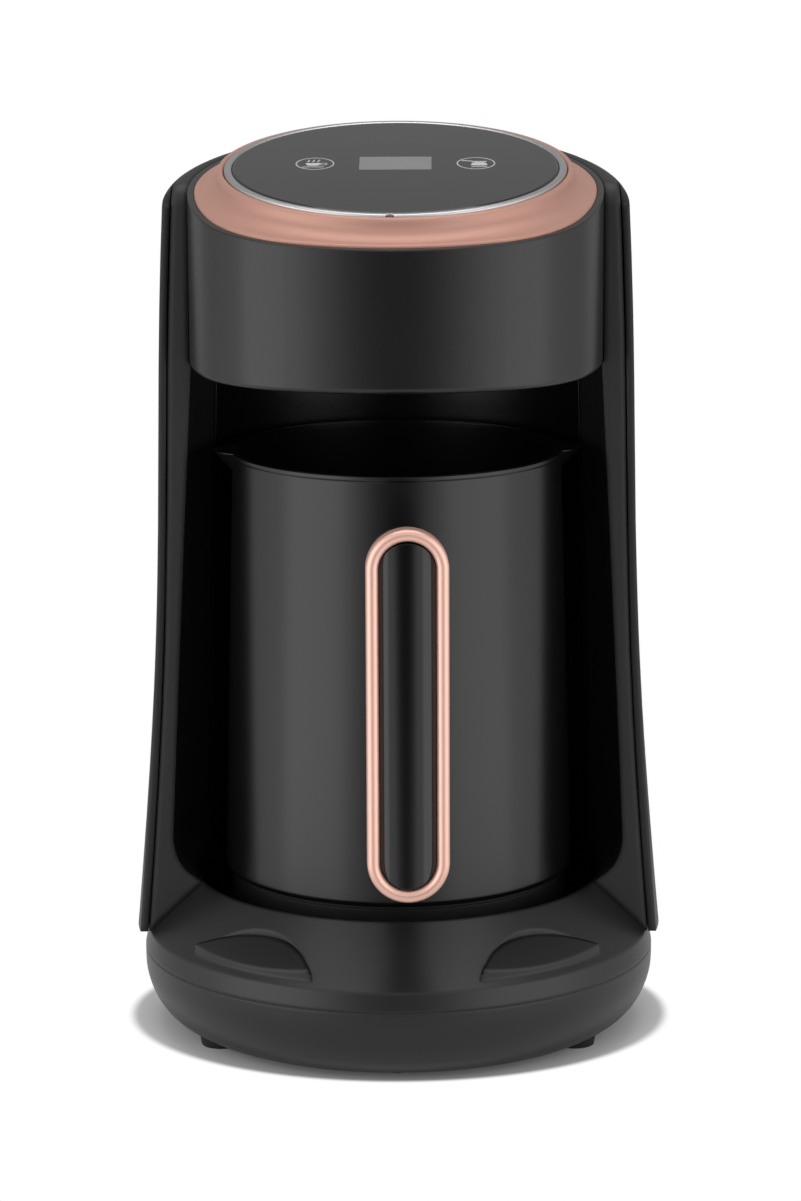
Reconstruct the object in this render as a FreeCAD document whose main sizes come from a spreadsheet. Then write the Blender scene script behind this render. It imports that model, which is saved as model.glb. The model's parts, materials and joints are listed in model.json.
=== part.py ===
import FreeCAD, Part
import math
import os

import Sketcher
from FreeCAD import Placement, Rotation, Vector

# An electric coffee maker for one small pot, in millimetres.
# X points right, Y points to the back and Z points up.
# The origin lies on the ground, at the centre of the round base.
# Each piece is drawn about the axis that the pot and its connector share, a few millimetres
# over the ground, and finish moves it, because that axis stands behind the base's middle.

DRIVING_SIZES = {
    # Round base
    "ground_drop": 3,
    "base_radius": 73.8,
    "base_axis_y": -7.5,
    "base_bottom": -1.8,
    "base_wall": 2.5,
    "heel_radius": 65.6,
    "heel_rounding": 13.4,
    "side_low": 9.3,
    "side_rounding": 20.6,
    "band_low": 19.5,
    "band_high": 25,
    "band_radius": 72.7,
    "plate_radius": 56,
    "foot_radius": 6.5,
    "foot_x": 50.5,
    "foot_front_y": -38,
    "foot_rear_y": 23,
    "foot_middle_y": -61,
    "foot_middle_radius": 5,
    # Sloped deck with the well that the pot stands in
    "well_radius": 58.6,
    "well_edge": 39.3,
    "well_floor": 24,
    "deck_wall": 2,
    "moon_radius": 30.6,
    "moon_lip": 28.3,
    "moon_reach": 70.5,
    "moon_width": 11.9,
    "moon_turn": 37.1,
    "moon_slope": 25,
    "moon_groove": 0.6,
    # Column that wraps round the bay from behind
    "column_low": 25,
    "column_low_radius": 76,
    "column_low_y": -6,
    "flare_low": 45,
    "flare_low_radius": 74.2,
    "flare_middle": 75,
    "flare_middle_radius": 71.8,
    "flare_high": 105,
    "flare_high_radius": 69.95,
    "waist": 149,
    "waist_radius": 68.5,
    "shoulder_low": 192,
    "shoulder_low_radius": 67.8,
    "shoulder_high": 225,
    "shoulder_high_radius": 66.85,
    "column_high": 255,
    "column_high_radius": 65.6,
    "crown_rounding": 5,
    "skin": 2.2,
    "skin_gap": 0.35,
    "column_wall": 2.6,
    "front_low_y": -20,
    "front_high_y": 4.5,
    "corner_rounding": 7,
    # Bay round the pot
    "bay_low": 52,
    "bay_low_radius": 65.2,
    "bay_low_y": -11.2,
    "bay_high_radius": 58.7,
    "bay_high_y": -4,
    "liner_wall": 1.6,
    # Head that hangs over the pot
    "head_half": 59,
    "head_bottom": 188.4,
    "head_wall": 2.4,
    "rim_height": 238,
    "rim_tilt": 9.6,
    "ring_half": 57,
    "ring_depth": 2.5,
    "panel_rise": 6.4,
    "bezel_radius": 48.7,
    "glass_radius": 46.2,
    "glass_thickness": 1.8,
    "ceiling_wall": 2.2,
    # Steel pot
    "pot_turn": 2.5,
    "pot_bottom": 40.6,
    "pot_bottom_radius": 50.5,
    "pot_rim": 163.5,
    "pot_rim_radius": 47.2,
    "pot_wall": 1.2,
    "spout_reach": 52.8,
    "spout_radius": 9,
    "spout_height": 10,
    "skirt_radius": 48.6,
    "skirt_bottom": 24.6,
    "skirt_wall": 2.5,
    # Handle
    "grip_width": 22.6,
    "grip_top": 156.3,
    "grip_bottom": 52.3,
    "grip_front": 86,
    "grip_back": 74.5,
    "trim_width": 3.4,
    "trim_depth": 5,
    "arm_width": 15,
    "upper_arm": 137,
    "lower_arm": 70,
    "arm_height": 17,
    # Mains inlet
    "cord_radius": 3.3,
    "gland_height": 12,
    "gland_radius": 5.5,
}

FULL_TURN = 360
CLEARANCE = 0.3
REACH = 120

# Connector
SOCKET_RADIUS = 24
BOSS_RADIUS = 13
PLUG_RADIUS = 19

# Column: its levels, and the vent slots low in its back
CAVITY_FRONT = 22
COLUMN_LEVELS = ("column_low", "flare_low", "flare_middle", "flare_high", "waist",
                 "shoulder_low", "shoulder_high", "column_high")
VENT_ROWS = 7
VENT_LOW = 60
VENT_STEP = 5
VENT_HEIGHT = 2
VENT_HALF = 20

# Foot of the bay: height over the well's edge, radius and place on Y of its bowl
BAY_FOOT = ((-0.3, 59.5, 0), (1.7, 60.9, -4), (4.2, 62.9, -7.5), (7.7, 64.4, -10))

# Head outline: radius of a side and of a corner over half the width
SIDE_RATIO = 1.49
CORNER_RATIO = 0.67

# Thumb rests
MOON_BLOCK = 20

# Pieces under the glass, on levels measured from the sloped rim
SENSOR_Y = 30
KEY_X = 22.8
DISPLAY_Y = 1.5
TRAY_FLOOR = -12
TRAY_WALL = 1.6
BOARD_LEVEL = -3.4
BOARD_THICKNESS = 1.6
BOARD_TOP = BOARD_LEVEL + BOARD_THICKNESS
BOARD_RADIUS = 42
BUZZER_X = -18
BUZZER_Y = -20

# Electric pieces in the base and the cable behind the bay
POWER_LEVEL = 8
POWER_Y = -50
TERMINAL_Y = 46
RIBBON_WIDTH = 16
RIBBON_THICKNESS = 1.2
RIBBON_LENGTH = 204
RIBBON_Y = 61.6
RIBBON_FOOT = 20
RIBBON_LEAN = 1.5

# Heater under the pot
HEATER_DISC = 44
HEATER_PLATE = 2.4
HEATER_TUBE = 3.2
HEATER_RING = 31
HEATER_SWEEP = 300
THERMOSTAT_RADIUS = 3.9
THERMOSTAT_Y = -23.3

# Handle
INSERT_CROWN = 15
BRACKET_WIDTH = 10
BRACKET_HEIGHT = 12
HANDLE_SCREW_RADIUS = 1.5

# The service plate's screws: head radius, and how deep the heads are sunk in the plate
PLATE_SCREW_HEAD = 2.8
PLATE_SINK = 0.9

# Places of screws and feet, as pairs of X and Y
PLATE_SCREWS = ((40, 30), (-40, 30), (40, -30), (-40, -30))
BOARD_SCREWS = ((34, -14), (-34, -14), (0, -36), (28, 24), (-28, 24))
COVER_SCREWS = ((38, 0), (-38, 0))
FOOT_PLACES = (
    ("front_left", "-Size.foot_x", "Size.foot_front_y", "Size.foot_radius"),
    ("front_right", "Size.foot_x", "Size.foot_front_y", "Size.foot_radius"),
    ("rear_left", "-Size.foot_x", "Size.foot_rear_y", "Size.foot_radius"),
    ("rear_right", "Size.foot_x", "Size.foot_rear_y", "Size.foot_radius"),
    ("front_middle", "0", "Size.foot_middle_y", "Size.foot_middle_radius"),
)

DOC = FreeCAD.newDocument("coffee_maker")
SIZE = DOC.addObject("Spreadsheet::Sheet", "Size")
FINISHED = []


def fill_sheet():
    """Write every driving size to its own cell, with its alias."""
    for row, (alias, value) in enumerate(DRIVING_SIZES.items(), start=1):
        SIZE.set(f"A{row}", alias)
        SIZE.set(f"B{row}", str(value))
        SIZE.setAlias(f"B{row}", alias)
    DOC.recompute()


def size(expression):
    """The value of an expression over the sheet's cells, in millimetres or degrees."""
    return float(SIZE.evalExpression(str(expression)))


def bind(item, **expressions):
    """Bind properties of an item to expressions over the sheet's cells."""
    for name, expression in expressions.items():
        item.setExpression(name, str(expression))
    return item


def finish(item, label):
    """Name a finished sub-part and move it from where it is drawn to the part's origin."""
    item.Label = label
    drawn = dict(item.ExpressionEngine)
    for axis, move in (("y", "- Size.base_axis_y"), ("z", "+ Size.ground_drop")):
        place = drawn.get(".Placement.Base." + axis, str(getattr(item.Placement.Base, axis)))
        item.setExpression(".Placement.Base." + axis, f"{place} {move}")
    FINISHED.append(item)
    return item


# Sketch helpers

def new_body(name):
    return DOC.addObject("PartDesign::Body", name)


def new_sketch(body, name, plane="XY_Plane", offset=None):
    """A sketch on one of the body's own origin planes, moved along its normal by offset."""
    support = [item for item in body.Origin.OriginFeatures if item.Role == plane][0]
    sketch = body.newObject("Sketcher::SketchObject", name)
    sketch.AttachmentSupport = (support, [""])
    sketch.MapMode = "FlatFace"
    if offset is not None:
        sketch.setExpression("AttachmentOffset.Base.z", str(offset))
    return sketch


def hold(sketch, kind, expression, *where):
    """Add a measured constraint that follows an expression."""
    index = sketch.addConstraint(Sketcher.Constraint(kind, *where, size(expression)))
    sketch.setExpression(f"Constraints[{index}]", str(expression))


def pin(sketch, geometry, point, x, y):
    """Hold a point of the sketch at x, y."""
    for kind, axis, expression in (("DistanceX", -2, x), ("DistanceY", -1, y)):
        if abs(size(expression)) < 1e-9:
            sketch.addConstraint(Sketcher.Constraint("PointOnObject", geometry, point, axis))
        else:
            hold(sketch, kind, expression, -1, 1, geometry, point)


def add_outline(sketch, corners):
    """A closed outline of straight lines through corners given as pairs of expressions."""
    points = [Vector(size(x), size(y), 0) for x, y in corners]
    first = sketch.GeometryCount
    count = len(points)
    for index in range(count):
        sketch.addGeometry(Part.LineSegment(points[index], points[(index + 1) % count]))
    for index in range(count):
        follower = first + (index + 1) % count
        sketch.addConstraint(Sketcher.Constraint("Coincident", first + index, 2, follower, 1))
    for index, (x, y) in enumerate(corners):
        pin(sketch, first + index, 1, x, y)
    return sketch


def add_circle(sketch, radius, x=0, y=0):
    centre = Vector(size(x), size(y), 0)
    index = sketch.addGeometry(Part.Circle(centre, Vector(0, 0, 1), size(radius)))
    hold(sketch, "Radius", radius, index)
    pin(sketch, index, 3, x, y)
    return sketch


def add_obround(sketch, width, low, high):
    """A slot shape that stands along the sketch's own Y axis, from low to high."""
    radius = size(width) / 2
    bottom = Vector(0, size(low) + radius, 0)
    top = Vector(0, size(high) - radius, 0)
    side = Vector(radius, 0, 0)
    normal = Vector(0, 0, 1)
    upper = sketch.addGeometry(Part.ArcOfCircle(Part.Circle(top, normal, radius), 0, math.pi))
    left = sketch.addGeometry(Part.LineSegment(top - side, bottom - side))
    lower = sketch.addGeometry(
        Part.ArcOfCircle(Part.Circle(bottom, normal, radius), math.pi, 2 * math.pi))
    right = sketch.addGeometry(Part.LineSegment(bottom + side, top + side))
    for one, one_end, other, other_end in (
            (upper, 2, left, 1), (left, 2, lower, 1), (lower, 2, right, 1), (right, 2, upper, 1)):
        sketch.addConstraint(Sketcher.Constraint("Tangent", one, one_end, other, other_end))
    hold(sketch, "Radius", f"({width}) / 2", upper)
    pin(sketch, upper, 3, 0, f"({high}) - ({width}) / 2")
    pin(sketch, lower, 3, 0, f"({low}) + ({width}) / 2")
    return sketch


def add_rounded_square(sketch, half, side_radius, corner_radius):
    """Four shallow sides of side_radius, joined by four corner arcs, all tangent."""
    reach = size(half)
    shallow = size(side_radius)
    corner = size(corner_radius)
    offset = shallow - reach
    # The corner's centre lies on the diagonal, shallow - corner away from each side's centre.
    corner_centre = (math.sqrt(2 * (shallow - corner) ** 2 - offset ** 2) - offset) / 2
    half_sweep = math.atan2(corner_centre, corner_centre + offset)
    normal = Vector(0, 0, 1)
    arcs = []
    sides = []
    corners = []
    for quarter in range(4):
        heading = quarter * math.pi / 2
        centre = Vector(-offset * math.cos(heading), -offset * math.sin(heading), 0)
        circle = Part.Circle(centre, normal, shallow)
        side = sketch.addGeometry(
            Part.ArcOfCircle(circle, heading - half_sweep, heading + half_sweep))
        diagonal = heading + math.pi / 4
        centre = Vector(math.cos(diagonal), math.sin(diagonal), 0) * corner_centre * math.sqrt(2)
        circle = Part.Circle(centre, normal, corner)
        bend = sketch.addGeometry(
            Part.ArcOfCircle(circle, heading + half_sweep, heading + math.pi / 2 - half_sweep))
        arcs += [side, bend]
        sides.append(side)
        corners.append(bend)
    for one, other in zip(arcs, arcs[1:] + arcs[:1]):
        sketch.addConstraint(Sketcher.Constraint("Tangent", one, 2, other, 1))
    for side in sides[1:]:
        sketch.addConstraint(Sketcher.Constraint("Equal", sides[0], side))
    for bend in corners[1:]:
        sketch.addConstraint(Sketcher.Constraint("Equal", corners[0], bend))
    hold(sketch, "Radius", side_radius, sides[0])
    hold(sketch, "Radius", corner_radius, corners[0])
    away = f"({side_radius}) - ({half})"
    pin(sketch, sides[0], 3, f"-({away})", 0)
    pin(sketch, sides[1], 3, 0, f"-({away})")
    pin(sketch, sides[2], 3, away, 0)
    pin(sketch, sides[3], 3, 0, away)
    return sketch


# Feature helpers

def checked(feature):
    """Recompute, and stop if the feature didn't come out as one valid shape."""
    DOC.recompute()
    if "Invalid" in feature.State or "Error" in feature.State or not feature.Shape.isValid():
        raise RuntimeError(f"{feature.Name} failed: {feature.State}")
    return feature


def revolve(body, name, corners):
    """Turn an outline of radius and height pairs once round the body's own Z axis."""
    sketch = add_outline(new_sketch(body, name + "_outline", "XZ_Plane"), corners)
    feature = body.newObject("PartDesign::Revolution", name)
    feature.Profile = sketch
    feature.ReferenceAxis = (sketch, ["V_Axis"])
    feature.Angle = FULL_TURN
    return checked(feature)


def turn_out(body, name, corners):
    """Cut a turned outline of radius and height pairs out of the body."""
    before = body.Shape.Volume
    sketch = add_outline(new_sketch(body, name + "_outline", "XZ_Plane"), corners)
    feature = body.newObject("PartDesign::Groove", name)
    feature.Profile = sketch
    feature.ReferenceAxis = (sketch, ["V_Axis"])
    feature.Angle = FULL_TURN
    return must_cut(checked(feature), before)


def must_cut(feature, before):
    if feature.Shape.Volume > before - 1e-3:
        raise RuntimeError(f"{feature.Name} cut nothing")
    return feature


def pad(body, name, sketch, length, symmetric=False):
    feature = body.newObject("PartDesign::Pad", name)
    feature.Profile = sketch
    bind(feature, Length=length)
    if symmetric:
        feature.SideType = "Symmetric"
    return checked(feature)


def pocket(body, name, sketch, length, symmetric=False, backwards=False):
    before = body.Shape.Volume
    feature = body.newObject("PartDesign::Pocket", name)
    feature.Profile = sketch
    bind(feature, Length=length)
    feature.Reversed = backwards
    if symmetric:
        feature.SideType = "Symmetric"
    return must_cut(checked(feature), before)


def loft(body, name, sketches, cut=False, ruled=True):
    """Join sections by straight or smooth sides, added to the body or cut from it."""
    before = body.Shape.Volume if cut else 0
    kind = "SubtractiveLoft" if cut else "AdditiveLoft"
    feature = body.newObject("PartDesign::" + kind, name)
    feature.Profile = sketches[0]
    feature.Sections = sketches[1:]
    feature.Ruled = ruled
    checked(feature)
    return must_cut(feature, before) if cut else feature


def round_edges(body, name, radius, wanted):
    """Fillet those edges of the body's last feature that wanted picks."""
    base = body.Tip
    names = [f"Edge{index}" for index, edge in enumerate(base.Shape.Edges, start=1) if wanted(edge)]
    feature = body.newObject("PartDesign::Fillet", name)
    feature.Base = (base, names)
    bind(feature, Radius=radius)
    return checked(feature)


def rim_edges(radius, height):
    """Picks full circles of a radius at a height in the body's own frame."""
    def wanted(edge):
        if not hasattr(edge.Curve, "Radius"):
            return False
        same_radius = abs(edge.Curve.Radius - size(radius)) < 1e-3
        return same_radius and abs(edge.BoundBox.Center.z - size(height)) < 1e-3
    return wanted


def level_edges(height):
    """Picks edges that lie flat on one level."""
    def wanted(edge):
        limits = edge.BoundBox
        return limits.ZLength < 1e-3 and abs(limits.Center.z - size(height)) < 1e-3
    return wanted


def back_edges(y):
    """Picks edges that lie flat on one plane of Y."""
    def wanted(edge):
        limits = edge.BoundBox
        return limits.YLength < 1e-3 and abs(limits.Center.y - size(y)) < 1e-3
    return wanted


def cylinder(name, radius, height, x=0, y=0, z=0):
    item = DOC.addObject("Part::Cylinder", name)
    bind(item, Radius=radius, Height=height)
    return stand(item, x, y, z)


def box(name, length, width, height, x=0, y=0, z=0):
    """A box centred on x and y that stands on z."""
    item = DOC.addObject("Part::Box", name)
    bind(item, Length=length, Width=width, Height=height)
    return stand(item, f"({x}) - ({length}) / 2", f"({y}) - ({width}) / 2", z)


def stand(item, x, y, z):
    item.setExpression("Placement.Base.x", str(x))
    item.setExpression("Placement.Base.y", str(y))
    item.setExpression("Placement.Base.z", str(z))
    return item


def lying_cylinder(name, radius, length, y, z):
    """A cylinder that runs forwards from y at a height."""
    item = cylinder(name, radius, length, 0, y, z)
    item.Placement = Placement(item.Placement.Base, Rotation(Vector(1, 0, 0), 90))
    return item


def fuse(name, items):
    joined = DOC.addObject("Part::MultiFuse", name)
    joined.Shapes = items
    joined.Refine = True
    return checked(joined)


def common(name, items):
    shared = DOC.addObject("Part::MultiCommon", name)
    shared.Shapes = items
    return checked(shared)


def cut(name, base, tool):
    result = DOC.addObject("Part::Cut", name)
    result.Base = base
    result.Tool = tool
    DOC.recompute()
    return must_cut(checked(result), base.Shape.Volume)


def group(name, items):
    together = DOC.addObject("Part::Compound", name)
    together.Links = items
    return checked(together)


def screw(name, radius, length, head_radius, x, y, z, upright=True):
    """A pan head screw on z with a slotted head, its shank pointing up or down."""
    depth = f"({head_radius}) * 0.5"
    shank_z = z if upright else f"({z}) - ({length})"
    head_z = f"({z}) - ({depth})" if upright else z
    shank = cylinder(name + "_shank", radius, length, x, y, shank_z)
    head = cylinder(name + "_head", head_radius, depth, x, y, head_z)
    slot_z = head_z if upright else f"({head_z}) + ({depth}) / 2"
    slot = box(name + "_slot", f"({head_radius}) * 1.4", f"({head_radius}) * 0.3",
               f"({depth}) / 2", x, y, slot_z)
    return cut(name, fuse(name + "_blank", [shank, head]), slot)


def panel_frame(item):
    """Stand a piece on the tilted rim plane of the head."""
    item.setExpression("Placement.Base.z", "Size.rim_height")
    item.Placement = Placement(Vector(0, 0, size("rim_height")),
                               Rotation(Vector(1, 0, 0), size("rim_tilt")))
    item.setExpression("Placement.Rotation.Axis.x", "1")
    item.setExpression("Placement.Rotation.Axis.y", "0")
    item.setExpression("Placement.Rotation.Axis.z", "0")
    item.setExpression("Placement.Rotation.Angle", "Size.rim_tilt")
    return item


def turn_with_pot(item):
    """Turn a piece of the pot as the photographed pot stands on its round connector."""
    item.Placement = Placement(Vector(0, 0, 0), Rotation(Vector(0, 0, 1), size("pot_turn")))
    item.setExpression("Placement.Rotation.Angle", "Size.pot_turn")
    return item


# Base

def pan_form(name):
    """Outer form of the pan: an upright wall over a deep rounding."""
    body = new_body(name)
    revolve(body, name + "_form", (
        (0, "Size.base_bottom"),
        ("Size.heel_radius", "Size.base_bottom"),
        ("Size.base_radius", "Size.side_low"),
        ("Size.base_radius", "Size.band_low"),
        (0, "Size.band_low"),
    ))
    round_edges(body, name + "_heel", "Size.heel_rounding",
                rim_edges("Size.heel_radius", "Size.base_bottom"))
    round_edges(body, name + "_side", "Size.side_rounding",
                rim_edges("Size.base_radius", "Size.side_low"))
    return stand(body, 0, "Size.base_axis_y", 0)


def make_base_pan():
    """Lower drum of the base with a deeply rounded foot and a round service opening."""
    body = pan_form("base_pan_body")
    wall = "Size.base_radius - Size.base_wall"
    turn_out(body, "pan_hollow", (
        ("Size.plate_radius - 6", "Size.base_bottom + 4"),
        ("Size.plate_radius + 2", "Size.base_bottom + 4"),
        (f"{wall} - 6.8", "Size.base_bottom + 6.5"),
        (f"{wall} - 2.8", "Size.base_bottom + 10.5"),
        (f"{wall} - 0.3", "Size.base_bottom + 16"),
        (wall, "Size.base_bottom + 19"),
        (wall, "Size.band_low + 1"),
        ("Size.plate_radius - 6", "Size.band_low + 1"),
    ))
    opening = add_circle(new_sketch(body, "pan_opening", offset="Size.base_bottom"),
                         "Size.plate_radius - 1.8")
    pocket(body, "pan_opening_cut", opening, 40, backwards=True)
    step = add_circle(new_sketch(body, "pan_step", offset="Size.base_bottom"),
                      "Size.plate_radius")
    pocket(body, "pan_step_cut", step, 2, backwards=True)
    hole = new_sketch(body, "gland_place", "XZ_Plane")
    add_circle(hole, "Size.gland_radius + 0.1", 0, "Size.gland_height")
    pocket(body, "gland_hole", hole, "Size.base_radius + 10")
    seat = new_sketch(body, "gland_seat", "XZ_Plane")
    add_circle(seat, "Size.gland_radius + 1.7", 0, "Size.gland_height")
    pocket(body, "gland_seat_cut", seat, "Size.base_radius - 4.3")
    return finish(body, "base_pan")


def make_bottom_plate():
    """Round service plate under the base, with slots for cooling and holes for its screws."""
    body = new_body("bottom_plate_body")
    sketch = add_circle(new_sketch(body, "plate_outline", offset="Size.base_bottom"),
                        "Size.plate_radius - 0.3")
    pad(body, "plate", sketch, 1.8)
    slots = new_sketch(body, "plate_slots", offset="Size.base_bottom + 1.8")
    for column in range(-2, 3):
        x = 7 * column
        add_outline(slots, ((x - 1, -14), (x + 1, -14), (x + 1, 14), (x - 1, 14)))
    pocket(body, "plate_slot_cut", slots, 3)
    holes = new_sketch(body, "plate_holes", offset="Size.base_bottom + 1.8")
    for x, y in PLATE_SCREWS:
        add_circle(holes, 1.9, x, y)
    pocket(body, "plate_hole_cut", holes, 3)
    sinks = new_sketch(body, "plate_sinks", offset=f"Size.base_bottom + {PLATE_SINK}")
    for x, y in PLATE_SCREWS:
        add_circle(sinks, PLATE_SCREW_HEAD + 0.3, x, y)
    pocket(body, "plate_sink_cut", sinks, 3)
    stand(body, 0, "Size.base_axis_y", 0)
    return finish(body, "bottom_plate")


def make_feet():
    """Rubber feet, shaped to the underside of the pan and pressed against it and the plate."""
    feet = []
    for name, x, y, radius in FOOT_PLACES:
        foot = DOC.addObject("Part::Cone", "foot_" + name)
        bind(foot, Radius1=f"{radius} - 0.8", Radius2=radius,
             Height="Size.ground_drop + Size.base_bottom + 3")
        feet.append(stand(foot, x, y, "-Size.ground_drop"))
    feet = group("feet_group", feet)
    return finish(cut("feet_fitted", feet, pan_form("pan_over_feet")), "rubber_feet")


def make_bottom_screws():
    """Four screws, sunk in the service plate, that hold it to the posts of the deck."""
    screws = []
    for index, (x, y) in enumerate(PLATE_SCREWS):
        screws.append(screw(f"plate_screw_{index}", 1.6, 10 - PLATE_SINK, PLATE_SCREW_HEAD, x,
                            f"Size.base_axis_y + ({y})", f"Size.base_bottom + {PLATE_SINK}"))
    return finish(group("bottom_screw_group", screws), "bottom_screws")


def make_deck_body():
    """Upper part of the base: a chamfered band, a sloped deck and a deep round well."""
    body = new_body("deck_body")
    low = add_circle(new_sketch(body, "deck_low", offset="Size.band_low"),
                     "Size.base_radius", 0, "Size.base_axis_y")
    middle = add_circle(new_sketch(body, "deck_middle", offset="Size.band_high"),
                        "Size.band_radius", 0, "Size.base_axis_y")
    high = add_circle(new_sketch(body, "deck_high", offset="Size.well_edge"),
                      "Size.well_radius + 0.4")
    loft(body, "deck_slope", [low, middle, high])
    low = add_circle(new_sketch(body, "hollow_low", offset="Size.band_low"),
                     "Size.base_radius - Size.base_wall", 0, "Size.base_axis_y")
    middle = add_circle(new_sketch(body, "hollow_middle", offset="Size.band_high - 1"),
                        "Size.band_radius - Size.base_wall", 0, "Size.base_axis_y")
    high = add_circle(new_sketch(body, "hollow_high", offset="Size.well_edge - 3"),
                      "Size.well_radius - 0.6")
    loft(body, "deck_hollow", [low, middle, high], cut=True)
    tube = add_circle(new_sketch(body, "well_tube", offset="Size.well_floor - Size.deck_wall"),
                      "Size.well_radius + Size.deck_wall")
    pad(body, "well_block", tube, "Size.well_edge - Size.well_floor - 0.5")
    posts = new_sketch(body, "post_places", offset="Size.base_bottom + 1.8")
    for x, y in PLATE_SCREWS:
        add_circle(posts, 3.6, x, f"Size.base_axis_y + ({y})")
    pad(body, "posts", posts, "Size.well_floor - Size.deck_wall - Size.base_bottom - 1.8")
    well = add_circle(new_sketch(body, "well_mouth", offset="Size.well_edge + 1"),
                      "Size.well_radius")
    pocket(body, "well", well, "Size.well_edge + 1 - Size.well_floor")
    hole = add_circle(new_sketch(body, "socket_place", offset="Size.well_floor"),
                      SOCKET_RADIUS + CLEARANCE)
    pocket(body, "socket_hole", hole, 5)
    screw_holes = new_sketch(body, "post_holes", offset="Size.base_bottom + 1.8")
    for x, y in PLATE_SCREWS:
        add_circle(screw_holes, 1.6, x, f"Size.base_axis_y + ({y})")
    pocket(body, "post_hole_cut", screw_holes, 11, backwards=True)
    slot = new_sketch(body, "ribbon_slot", offset="Size.well_edge")
    width = f"{RIBBON_WIDTH} / 2 + 1.5"
    add_outline(slot, ((f"-({width})", 60.9), (width, 60.9), (width, 63.4), (f"-({width})", 63.4)))
    pocket(body, "ribbon_slot_cut", slot, 20)
    return body


def moon_tools(side):
    """The thumb rest on one side: a lens in the deck, the space over it and a groove behind."""
    turn = size("moon_turn") * side
    outward = Rotation(Vector(0, 0, 1), turn).multVec(Vector(0, -1, 0))
    axis = Vector(0, size("base_axis_y"), 0)
    inner_reach = size("moon_reach") - size("moon_width")
    arc_centre = axis + outward * (inner_reach + size("moon_radius"))
    name = "left" if side < 0 else "right"
    arc = cylinder("moon_arc_" + name, "Size.moon_radius", 30, arc_centre.x, arc_centre.y, 20)
    core = cylinder("moon_core_" + name, "Size.moon_radius - Size.moon_groove", 30,
                    arc_centre.x, arc_centre.y, 20)
    reach = cylinder("moon_reach_" + name, "Size.moon_reach", 30, 0, "Size.base_axis_y", 20)
    lens = common("moon_lens_" + name, [arc, reach])
    lip = axis + outward * size("moon_reach") + Vector(0, 0, size("moon_lip"))
    slope = Rotation(Vector(0, 0, 1), turn) * Rotation(Vector(1, 0, 0), size("moon_slope"))
    spans = {"over": 0, "under": -MOON_BLOCK, "groove": -1.4}
    blocks = {}
    for key, start in spans.items():
        block = DOC.addObject("Part::Box", f"moon_{key}_{name}")
        block.Length = block.Width = 3 * MOON_BLOCK
        block.Height = MOON_BLOCK
        corner = slope.multVec(Vector(-1.5 * MOON_BLOCK, -1.5 * MOON_BLOCK, start))
        block.Placement = Placement(lip + corner, slope)
        blocks[key] = block
    rest = common("moon_rest_" + name, [lens, blocks["under"]])
    space = common("moon_space_" + name, [arc, blocks["over"]])
    slit = cut("moon_slit_" + name, lens, core)
    groove = common("moon_groove_" + name, [slit, blocks["groove"]])
    return rest, space, groove


def make_base_deck():
    deck = make_deck_body()
    left_rest, left_space, left_groove = moon_tools(-1)
    right_rest, right_space, right_groove = moon_tools(1)
    DOC.recompute()
    opened = cut("deck_left_open", deck, left_space)
    opened = cut("deck_open", opened, right_space)
    deck = fuse("deck_with_rests", [opened, left_rest, right_rest])
    deck = cut("deck_left_groove", deck, left_groove)
    return finish(cut("deck_grooved", deck, right_groove), "base_deck")


# Connector that carries the current to the pot in any position

def make_connector_socket():
    body = new_body("socket_body")
    revolve(body, "socket", (
        (3.2, "Size.well_floor - 10"),
        (SOCKET_RADIUS - 2, "Size.well_floor - 10"),
        (SOCKET_RADIUS - 2, "Size.well_floor - 2"),
        (SOCKET_RADIUS, "Size.well_floor - 2"),
        (SOCKET_RADIUS, "Size.well_floor"),
        (BOSS_RADIUS, "Size.well_floor"),
        (BOSS_RADIUS - 0.6, "Size.well_floor + 10.5"),
        (3.2, "Size.well_floor + 10.5"),
    ))
    turn_out(body, "ring_groove", (
        (6, "Size.well_floor + 3"),
        (9, "Size.well_floor + 3"),
        (9, "Size.well_floor + 11"),
        (6, "Size.well_floor + 11"),
    ))
    return finish(body, "connector_socket")


def make_socket_contacts():
    """A phase sleeve in the ring groove and an earth tongue that stays below it."""
    body = new_body("contact_body")
    revolve(body, "contact_ring", (
        (6.4, "Size.well_floor + 3"),
        (7.2, "Size.well_floor + 3"),
        (7.2, "Size.well_floor + 8"),
        (6.4, "Size.well_floor + 8"),
    ))
    return finish(body, "socket_contact_ring")


def make_well_seal():
    """A soft ring on the floor of the well that keeps spilled coffee out of the base."""
    body = new_body("well_seal_body")
    revolve(body, "seal", (
        (SOCKET_RADIUS + 0.6, "Size.well_floor"),
        (SOCKET_RADIUS + 4, "Size.well_floor"),
        (SOCKET_RADIUS + 4, "Size.well_floor + 0.4"),
        (SOCKET_RADIUS + 0.6, "Size.well_floor + 0.4"),
    ))
    return finish(body, "well_seal")


# Column

def circle_sections(body, name, sections):
    """Circles on level planes, each given as height, radius and place on Y."""
    sketches = []
    for index, (height, radius, y) in enumerate(sections):
        sketch = new_sketch(body, f"{name}_{index}", offset=height)
        sketches.append(add_circle(sketch, radius, 0, y))
    return sketches


def column_line(height):
    """Where the middle of the leaning column lies on Y at a height."""
    rise = "(Size.column_high - Size.column_low)"
    return f"Size.column_low_y * (Size.column_high - ({height})) / {rise}"


def column_sections(body, name, inset):
    """The column's outer circles, drawn in by inset."""
    return circle_sections(body, name, [
        (f"Size.{level}", f"Size.{level}_radius - ({inset})", column_line(f"Size.{level}"))
        for level in COLUMN_LEVELS])


def column_solid(name, inset, smooth):
    """The flared outer form of the column, drawn in by inset."""
    body = new_body(name)
    loft(body, name + "_form", column_sections(body, name, inset), ruled=not smooth)
    return body


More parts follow.
